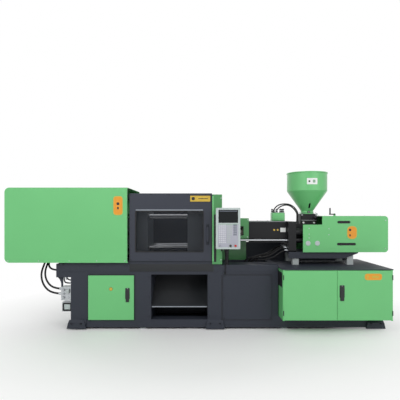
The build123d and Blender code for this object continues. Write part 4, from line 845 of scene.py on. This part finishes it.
# %% Purge guard trim
purge_y = -150
purge = Piece("purge_guard_trim", "purge_guard", "latch_black")
purge.lay(plate(92, 20, 14, 6, 3), latch_plastic, on(420, purge_y, 1156))
purge.lay(screw_head(7), zinc_plate, *grid((296, 627), purge_y, (1140, 1367)))
purge.lay(frame_strip(52, 124, 5, 2.5, 8), seal_rubber, on(550, purge_y, 1221))
purge.lay(turned((0, 0), (8, 0), (8, 60), (6, 62), (0, 62), sides=16), zinc_plate,
          *grid((330, 625), 160, 1375, LEFT))
purge.done()

# %% [markdown]
# The black guard over the heated barrel has a painted highlight along its top edge, a thin light grey strip,
# two diamonds of plain colour and one white field. Slots in its top let the heat out: thin dark strips do
# for them, since nobody sees inside.

# %% Barrel guard trim
shroud_y, shroud_top = -125, 1350
shroud = Piece("barrel_guard_trim", "carriage", "guard_black")
# Painted highlight: light grey strip where the guard's top edge catches the light
shroud.lay(plate(500, 5, 2, 1, 0.6), light_paint, on(897, shroud_y, 1343))
for x in (985, 1032):
    diamond = on(x, shroud_y, 1232, turn=45)
    shroud.lay(plate(27, 27, 0.7, 3), label_black, diamond)
    shroud.lay(plate(21, 21, 0.7, 2), label_yellow, shifted(diamond, 0, 0, 0.5))
field(shroud, 80, 66, on(1102, shroud_y, 1232), label_black, label_white)
shroud.lay(screw_head(7), black_oxide, *grid((662, 897, 1132), shroud_y, (1080, 1328)))
shroud.lay(screw_head(7), black_oxide, *grid((662, 800, 940), (-105, 105), shroud_top, UP))
shroud.lay(plate(90, 22, 16, 7, 4), latch_plastic, on(760, shroud_y, 1110))
shroud.lay(plate(7, 120, 1.4, 3, 0.4, 2), label_black, *grid(range(700, 940, 16), 0, shroud_top, UP))
shroud.done()

# %% [markdown]
# The junction box has a screwed lid on a rubber seal, which shows as a thin dark line round it.

# %% Junction box
lid = Piece("junction_box_lid", "carriage", "cover_green")
lid.lay(plate(170, 110, 1.5, 6), seal_rubber, on(1054, -65, 1406))
lid.lay(plate(166, 106, 3, 5, 1), cover_green, on(1054, -66, 1406))
lid.lay(screw_head(5, 2.5), zinc_plate, *grid((980, 1128), -69, (1362, 1450)))
lid.done()

# %% [markdown]
# The hopper is spun from green sheet: a ring clamps it to its base and a rolled rim stiffens its edge. A
# strip of sight glass shows the level, and a white card sits high on its front. The card has to follow the
# round wall, so it is cut into upright strips, and its corners move on to the wall.

# %% Hopper
def bent(shape, radius, cuts=10):
    """Wraps a flat shape round an upright round wall."""
    half_width = max(vertex.co.x for vertex in shape.verts)
    for number in range(1, cuts):
        parts = shape.verts[:] + shape.edges[:] + shape.faces[:]
        bmesh.ops.bisect_plane(shape, geom=parts, plane_co=((2 * number / cuts - 1) * half_width, 0, 0),
                               plane_no=(1, 0, 0))
    for vertex in shape.verts:
        angle = vertex.co.x / radius
        reach = radius + vertex.co.z
        vertex.co.x = reach * math.sin(angle)
        vertex.co.z = reach * math.cos(angle) - radius
    return shape


hopper_x = 1454
base_top = 1454
screw_circle = 86.5
cone_slope = (0, -0.822, -0.569)
wall, card = 264.2, 264.9
bowl = Piece("hopper_fittings", "carriage", "zinc_steel")
bowl.lay(turned((79.3, 0), (86, 0), (88, 5), (88, 11), (86, 16), (79.3, 16), (79.3, 0), sides=40),
         cover_green, on(hopper_x, 0, 1462, UP))
bowl.lay(plate(34, 26, 14, 4, 2), latch_plastic, on(hopper_x, -84, 1470))
bowl.lay(screw_head(8), zinc_plate, on(hopper_x, -98, 1470))
bowl.lay(turned((264.6, 0), (269.4, 1), (271.5, 5), (271.5, 11), (269.4, 15), (264.6, 16), (264.6, 0),
                sides=64), cover_green, on(hopper_x, 0, 1984, UP))
bowl.lay(screw_head(5, 3), zinc_plate,
         *[on(hopper_x + screw_circle * math.cos(turn), screw_circle * math.sin(turn), base_top, UP)
           for turn in (0.78, 2.36, 3.93, 5.5)])
for half, depth, finish in ((12, 0.6, seal_rubber), (9, 1.6, screen_glass)):
    bowl.lay(plate(2 * half, 56 + 2 * half, depth, half), finish, on(hopper_x, -126.8, 1553, cone_slope))
for turn, radius, width, height, corner, finish in (
        (-0.01, wall, 136, 81, 6, label_white), (-0.15, card, 24, 24, 11, seal_rubber),
        (0.08, card, 34, 38, 8, label_grey)):
    way = (math.sin(turn), -math.cos(turn), 0)
    bowl.lay(bent(plate(width, height, 0.8, corner), radius), finish,
             on(hopper_x + radius * way[0], radius * way[1], 1868, way))
bowl.done()

# %% [markdown]
# The slide base under the hopper is black plate with a bright line and two white knobs that clamp it. Knobs
# like these are turned with a waist, so that fingers can pull them.

# %% Hopper base trim
base_y = 80
slide = Piece("hopper_base_trim", "carriage", "guard_black")
slide.lay(turned((0, 0), (8, 0), (7, 6), (11.4, 10), (13, 18), (13, 28), (11, 31.5), (0, 32), sides=24),
          label_white, *grid((1380, 1520), -base_y, 1327))
slide.lay(plate(206, 5, 1.4, 1, 0.4), light_paint, on(1460, -base_y, 1360))
for side, y in both_sides(base_y):
    slide.lay(screw_head(10, 8), zinc_plate, *grid((1366, 1554), y, 1432, side))
slide.lay(nut(16, 9), zinc_plate, *grid((1366, 1552), (-66, 66), base_top, UP))
slide.lay(plate(40, 22, 30, 4, 2), latch_plastic, on(1540, -base_y, 1400))
slide.done()

# %% [markdown]
# The injection cover is a folded hood. Each grip slot has a rubber lip, seven screws hold each side, and
# two grey plugs close the holes for the lifting bars. An orange field sits between the grips.

# %% Injection cover trim
hood_end = 2423
slot_floor = 0.99
hood = Piece("injection_cover_trim", "carriage", "cover_green")
for side, y in both_sides(hood_y):
    for x, z, length in ((1853, 1338, 160), (1886, 1055, 235)):
        hood.lay(frame_strip(length + 7, 33, 4, 2.2, 14), seal_rubber, on(x, y, z, side))
        hood.lay(plate(length - 2, 24, 1, 11), seal_rubber, on(x, y * slot_floor, z, side))
    hood.lay(screw_head(8, 4), zinc_plate, *grid(1405, y, (1258, 1184, 1134), side),
             *grid(1660, y, (1252, 1176), side), *grid(2390, y, (1360, 1000), side))
    hood.lay(plate(1000, 3, 1.2, 1, 0.4), cover_green, on(1860, y, 1002, side))
field(hood, 128, 168, on(1958, -hood_y, 1204), label_yellow, label_orange,
      ((-26, 34, 30, 30), (-26, -36, 20, 26)), label_black, 0.4)
hood.lay(turned((0, 0), (32, 0), (32, 3), (29, 5), (14, 5), (12, 3.5), (0, 3.5), sides=32), console_plastic,
         *grid((1392, 1512), -hood_y, 1066))
hood.lay(plate(300, 9, 2.2, 4, 1), latch_plastic, *grid(hood_end, 0, range(1100, 1320, 22), RIGHT))
hood.lay(screw_head(8, 4), zinc_plate, *grid(hood_end, (-255, 255), (975, 1345), RIGHT),
         *grid((1620, 2340), (-240, 240), 1417, UP))
hood.done()

# %% [markdown]
# The electric cabinet stands in front of the bed, and its sides breathe through louvred vents. Louvres are
# pressed out of the sheet one by one, so rows of thin bars with rounded ends do for them.

# %% Electric cabinet trim
cabinet = Piece("cabinet_trim", "machine", "cover_green")
cabinet.lay(plate(320, 178, 1.5, 6, 0.6), seal_rubber, on(987, -462, 645, LEFT))
cabinet.lay(plate(290, 8, 5, 3, 1.5), latch_plastic, *grid(985.6, -462, range(572, 728, 15), LEFT))
cabinet.lay(screw_head(7, 3.5), zinc_plate, *grid(985.5, (-592, -308), (567, 723), LEFT))
cabinet.lay(plate(240, 8, 4, 3, 1.5), latch_plastic, *grid(2298, -450, range(300, 420, 15), RIGHT))
cabinet.lay(screw_head(7, 3.5), zinc_plate, *grid((1010, 1640, 2275), -628, 776, UP))
cabinet.done()

# %% [markdown]
# The cabinet's doors close on a dark seal and hang on pin hinges at their outer edges. The right one
# carries a plate for the latch and an orange field, and each has a folded edge line.

# %% Electric cabinet doors
leaf_y, leaf_z = -660.3, 473
for door, left, right, fold, hinge_x in (("cabinet_door_left", 987, 1631, (6, 578, 1.6, 2, 0.5), 993),
                                         ("cabinet_door_right", 1635, 2298, (5, 578, 1.4, 2, 0.5), 2292)):
    leaf = Piece(door + "_trim", door, "cover_green")
    leaf.lay(frame_strip(right - left - 22, 570, 9, 1.6, 6), seal_rubber,
             on((left + right) / 2, -638.9, leaf_z, REAR))
    if door == "cabinet_door_right":
        leaf.lay(plate(60, 148, 2.2, 8, 1), latch_plastic, on(1690, leaf_y, 520))
        leaf.lay(screw_head(5, 2.5), zinc_plate, *grid(1690, -662.5, (587, 453)))
        field(leaf, 206, 78, on(2062, leaf_y, 694), label_yellow, label_orange,
              ((-66, 0, 26, 38), (26, 0, 84, 30)), label_yellow, 0.35)
    leaf.lay(plate(*fold), cover_green, on(left + 6, leaf_y, leaf_z))
    leaf.lay(turned((0, 0), (5.5, 0), (5.5, 56), (4.5, 58), (0, 58), sides=14), latch_plastic,
             *grid(hinge_x, -664, (232, 656), UP))
    leaf.done()

# %% [markdown]
# The bed is welded from plate. Its covers are framed by narrow dark gaps, and low socket screws hold them.
# The feet get a washer each and the shoes a pair of bolts. Three dark sheets line the rear guard behind the
# carriage, and a dark sheet under the doors is painted shade.

# %% Bed trim
foot_rows = (-350, 350)
bed = Piece("bed_trim", "machine", "frame_dark")
bed.lay(frame_strip(594, 575, 5, 1.2, 10), seal_rubber, on(-1111, -bed_y, 398.5))
bed.lay(frame_strip(724, 579, 5, 1.4, 8), frame_paint, on(-258, -bed_y, 404.5))
bed.lay(screw_head(8, 4), black_oxide, *grid((-636, 120), -bed_y, (160, 400, 650)))
bed.lay(screw_head(9, 4), black_oxide, *grid((304, 879), -424, (140, 400, 658)))
bed.lay(plate(5, 560, 1.2, 1), seal_rubber, on(270, -bed_y, 398))
for x in (-1540, 190, 2190):
    for side, y in both_sides(bed_y + 30):
        bed.lay(screw_head(14, 10), black_oxide, *grid((x - 60, x + 60), y, 80, side))
bed.lay(turned((18.5, 0), (34, 0), (36, 2), (36, 5), (18.5, 8), (18.5, 0), sides=24), black_oxide,
        *grid((-1540, -720, 190, 1060, 2230), foot_rows, 12, UP))
for width, height, x, z in ((210, 261, 1225, 914.5), (143, 21, 1048.5, 794.5), (760, 96, 1710, 832)):
    bed.lay(plate(width, height, 2.4, 3, 0.8), frame_paint, on(x, 302, z, REAR))
# Painted shade: dark sheet for the shadow on the upper rail under the doors
bed.lay(plate(1052, 92, 1.4, 2, 0.6), chute_paint, on(-356, -bed_y, 769))
bed.lay(frame_strip(617, 563, 4, 1.4, 4), seal_rubber, on(591.5, -423.6, 398.5))
bed.lay(plate(610, 3, 1.2, 1), seal_rubber, on(591.5, -bed_y, 690))
bed.lay(plate(50, 66, 9, 4, 2), frame_paint, on(-1445, -424, 92))
bed.lay(screw_head(12, 9), black_oxide, on(-1445, -433, 92))
bed.lay(plate(240, 11, 2.4, 3, 1), seal_rubber, *grid(1650, bed_y, range(320, 600, 24), REAR))
bed.lay(plate(300, 11, 2.4, 3, 1), seal_rubber, *grid(-1111, bed_y, range(260, 560, 24), REAR))
bed.lay(screw_head(8, 4), black_oxide, *grid((-1300, -920, 1500, 1800), bed_y, (240, 620), REAR))
bed.done()

# %% [markdown]
# The chute under the mould keeps a folded lip in light grey, a painted highlight where its edge catches the
# light. The base door has a plate for its latch and one round field, which is two turned discs on each
# other.

# %% Chute lip and base door trim
chute = Piece("chute_lip", "machine", "chute_grey")
# Painted highlight: the lip is lighter than the chute because its edge is lit
chute.lay(plate(690, 12, 2.5, 2, 1), platen_paint, on(-258, -403, 279))
chute.done()
base_door_y = -440.3
base = Piece("base_door_trim", "base_door", "cover_green")
base.lay(plate(56, 140, 2.2, 8, 1), latch_plastic, on(-904, base_door_y, 450))
base.lay(screw_head(5, 2.5), zinc_plate, *grid(-904, -442.5, (514, 386)))
for radius, thick, finish in ((23, 0.8, label_black), (20, 1.3, label_yellow)):
    base.lay(turned((0, 0), (radius, 0), (radius, thick), (0, thick), sides=32), finish,
             on(-1111, base_door_y, 507))
base.done()

# %% [markdown]
# The oil manifold on the bed's end carries screwed valves: each is a big nut, a turned spindle and a
# smaller nut beside it. Below the manifold a dark frame holds the pale face of the cable socket.

# %% Oil manifold and socket
block_y = -385
block = Piece("manifold_fittings", "machine", "zinc_steel")
for z, size in ((392, 30), (440, 26), (488, 32)):
    block.lay(nut(size, 12), machined_steel, on(-1715, block_y, z))
    block.lay(turned((0, 0), (size * 0.36, 0), (size * 0.36, 20), (size * 0.28, 24), (0, 24)), zinc_plate,
              on(-1715, block_y, z))
    block.lay(nut(size - 6, 9), zinc_plate, on(-1660, block_y, z))
block.lay(plate(44, 52, 34, 4, 2), light_paint, on(-1665, block_y, 470))
block.lay(screw_head(10, 8), zinc_plate, *grid((-1740, -1630), block_y, (368, 512)))
block.lay(frame_strip(118, 106, 21, 7, 8), latch_plastic, on(-1674, -380, 272))
block.lay(plate(78, 66, 5, 4, 1.5), console_plastic, on(-1674, -380, 272))
block.lay(screw_head(5, 3), zinc_plate, *grid((-1726, -1622), -387, (226, 318)))
block.done()

# %% [markdown]
# The clamp cover is one long folded sheet. It has screwed edges, louvres at its end and on its rear, and a
# rubber edge towards the door. Dark brackets hold it to the bed.

# %% Clamp cover trim
cover_end = -2423
louvre_rows = range(1150, 1500, 24)
cover = Piece("clamp_cover_trim", "machine", "cover_green")
for side, y in both_sides(cover_y):
    cover.lay(plate(5, 900, 2, 1.5, 0.6), seal_rubber, on(-899.5, y, 1304, side))
    cover.lay(screw_head(8, 3.5), zinc_plate, *grid((-2380, -2000, -1620, -1280, -930), y, 862, side))
cover.lay(plate(460, 10, 2.4, 4, 1), latch_plastic, *grid(cover_end, 0, louvre_rows, LEFT))
cover.lay(plate(380, 10, 2.4, 4, 1), latch_plastic, *grid((-2050, -1400), cover_y, louvre_rows, REAR))
cover.lay(screw_head(8, 3.5), zinc_plate, *grid(cover_end, (-440, 440), (900, 1310, 1690), LEFT))
for side, y in both_sides(bed_y):
    cover.lay(plate(29, 59, 3.4, 2, 1), frame_paint, *grid((-918, -1288, -1738), y, 812, side))
cover.done()

# %% [markdown]
# The room is a pale floor under plain soft light. The world lights the machine evenly, two large lamps in
# front give it form, and only what the camera or a reflection sees of the world is pure white, so that the
# background is white without more light on the machine.

# %% Floor and world
def seen_rays(wire):
    """1 for what the camera, a reflection or a pane sees directly, 0 for light on its way to a surface."""
    camera_ray, glossy_ray, pane_ray = [wire.add("LightPath", outlet=f"Is {kind} Ray")
                                        for kind in ("Camera", "Glossy", "Transmission")]
    return wire.add("Math", {"operation": "ADD", "use_clamp": True},
                    {0: camera_ray + glossy_ray, 1: pane_ray})


def floor_finish():
    """Pale floor that keeps the shadow and fades to the white of the background further out."""
    made = Finish("floor_finish", linear("ffffff"), 0.75)
    cloud = made.noise(2.2, 3)
    made.tone(cloud, 0.015)
    made.feed("Roughness", cloud * 0.1 + 0.7)
    reach = made.wire.add("VectorMath", {"operation": "LENGTH"}, {0: made.place}, outlet="Value")
    far = made.wire.add("MapRange", {}, {"Value": reach, "From Min": 1.6, "From Max": 3.6})
    white = made.wire.add("Emission", {}, {"Color": (1, 1, 1, 1), "Strength": 1.0})
    surface = Wire(made.tree, made.shader.outputs["BSDF"])
    mixed = made.wire.add("MixShader", {}, {0: far * seen_rays(made.wire), 1: surface, 2: white})
    plug(made.tree, made.tree.nodes["Material Output"].inputs["Surface"], mixed)
    return made.material


floor_mesh = bpy.data.meshes.new("floor")
floor_shape = bmesh.new()
bmesh.ops.create_grid(floor_shape, x_segments=1, y_segments=1, size=30)
floor_shape.to_mesh(floor_mesh)
floor_shape.free()
floor_mesh.materials.append(floor_finish())
floor = bpy.data.objects.new("floor", floor_mesh)
bpy.context.collection.objects.link(floor)

ambient = 0.46
world = bpy.data.worlds.new("world")
world.use_nodes = True
bpy.context.scene.world = world
background = world.node_tree.nodes["Background"].inputs
background["Color"].default_value = (1, 1, 1, 1)
plug(world.node_tree, background["Strength"], seen_rays(Wire(world.node_tree)) * (1 - ambient) + ambient)
print("world lit, ambient", ambient)

# %% [markdown]
# Three large square lamps do what softboxes do in a studio. The key stands in front on the left, a weaker
# one fills from the right, and one behind keeps the rear from going black when the machine is seen from
# there.

# %% Lamps
def lamp(name, place, size, power):
    """Large square lamp that looks at the middle of the machine."""
    data = bpy.data.lights.new(name, "AREA")
    data.size = size
    data.energy = power
    made = bpy.data.objects.new(name, data)
    made.location = place
    made.rotation_euler = (Vector((0, 0, 1)) - Vector(place)).to_track_quat("-Z", "Y").to_euler()
    bpy.context.collection.objects.link(made)
    print(name, power, "W")


lamp("key_lamp", (-3.2, -6.5, 5.5), 4.0, 250)
lamp("fill_lamp", (4.5, -5.0, 4.0), 4.0, 110)
lamp("back_lamp", (0.0, 5.5, 5.0), 5.0, 160)
bpy.context.scene.view_settings.view_transform = "Standard"
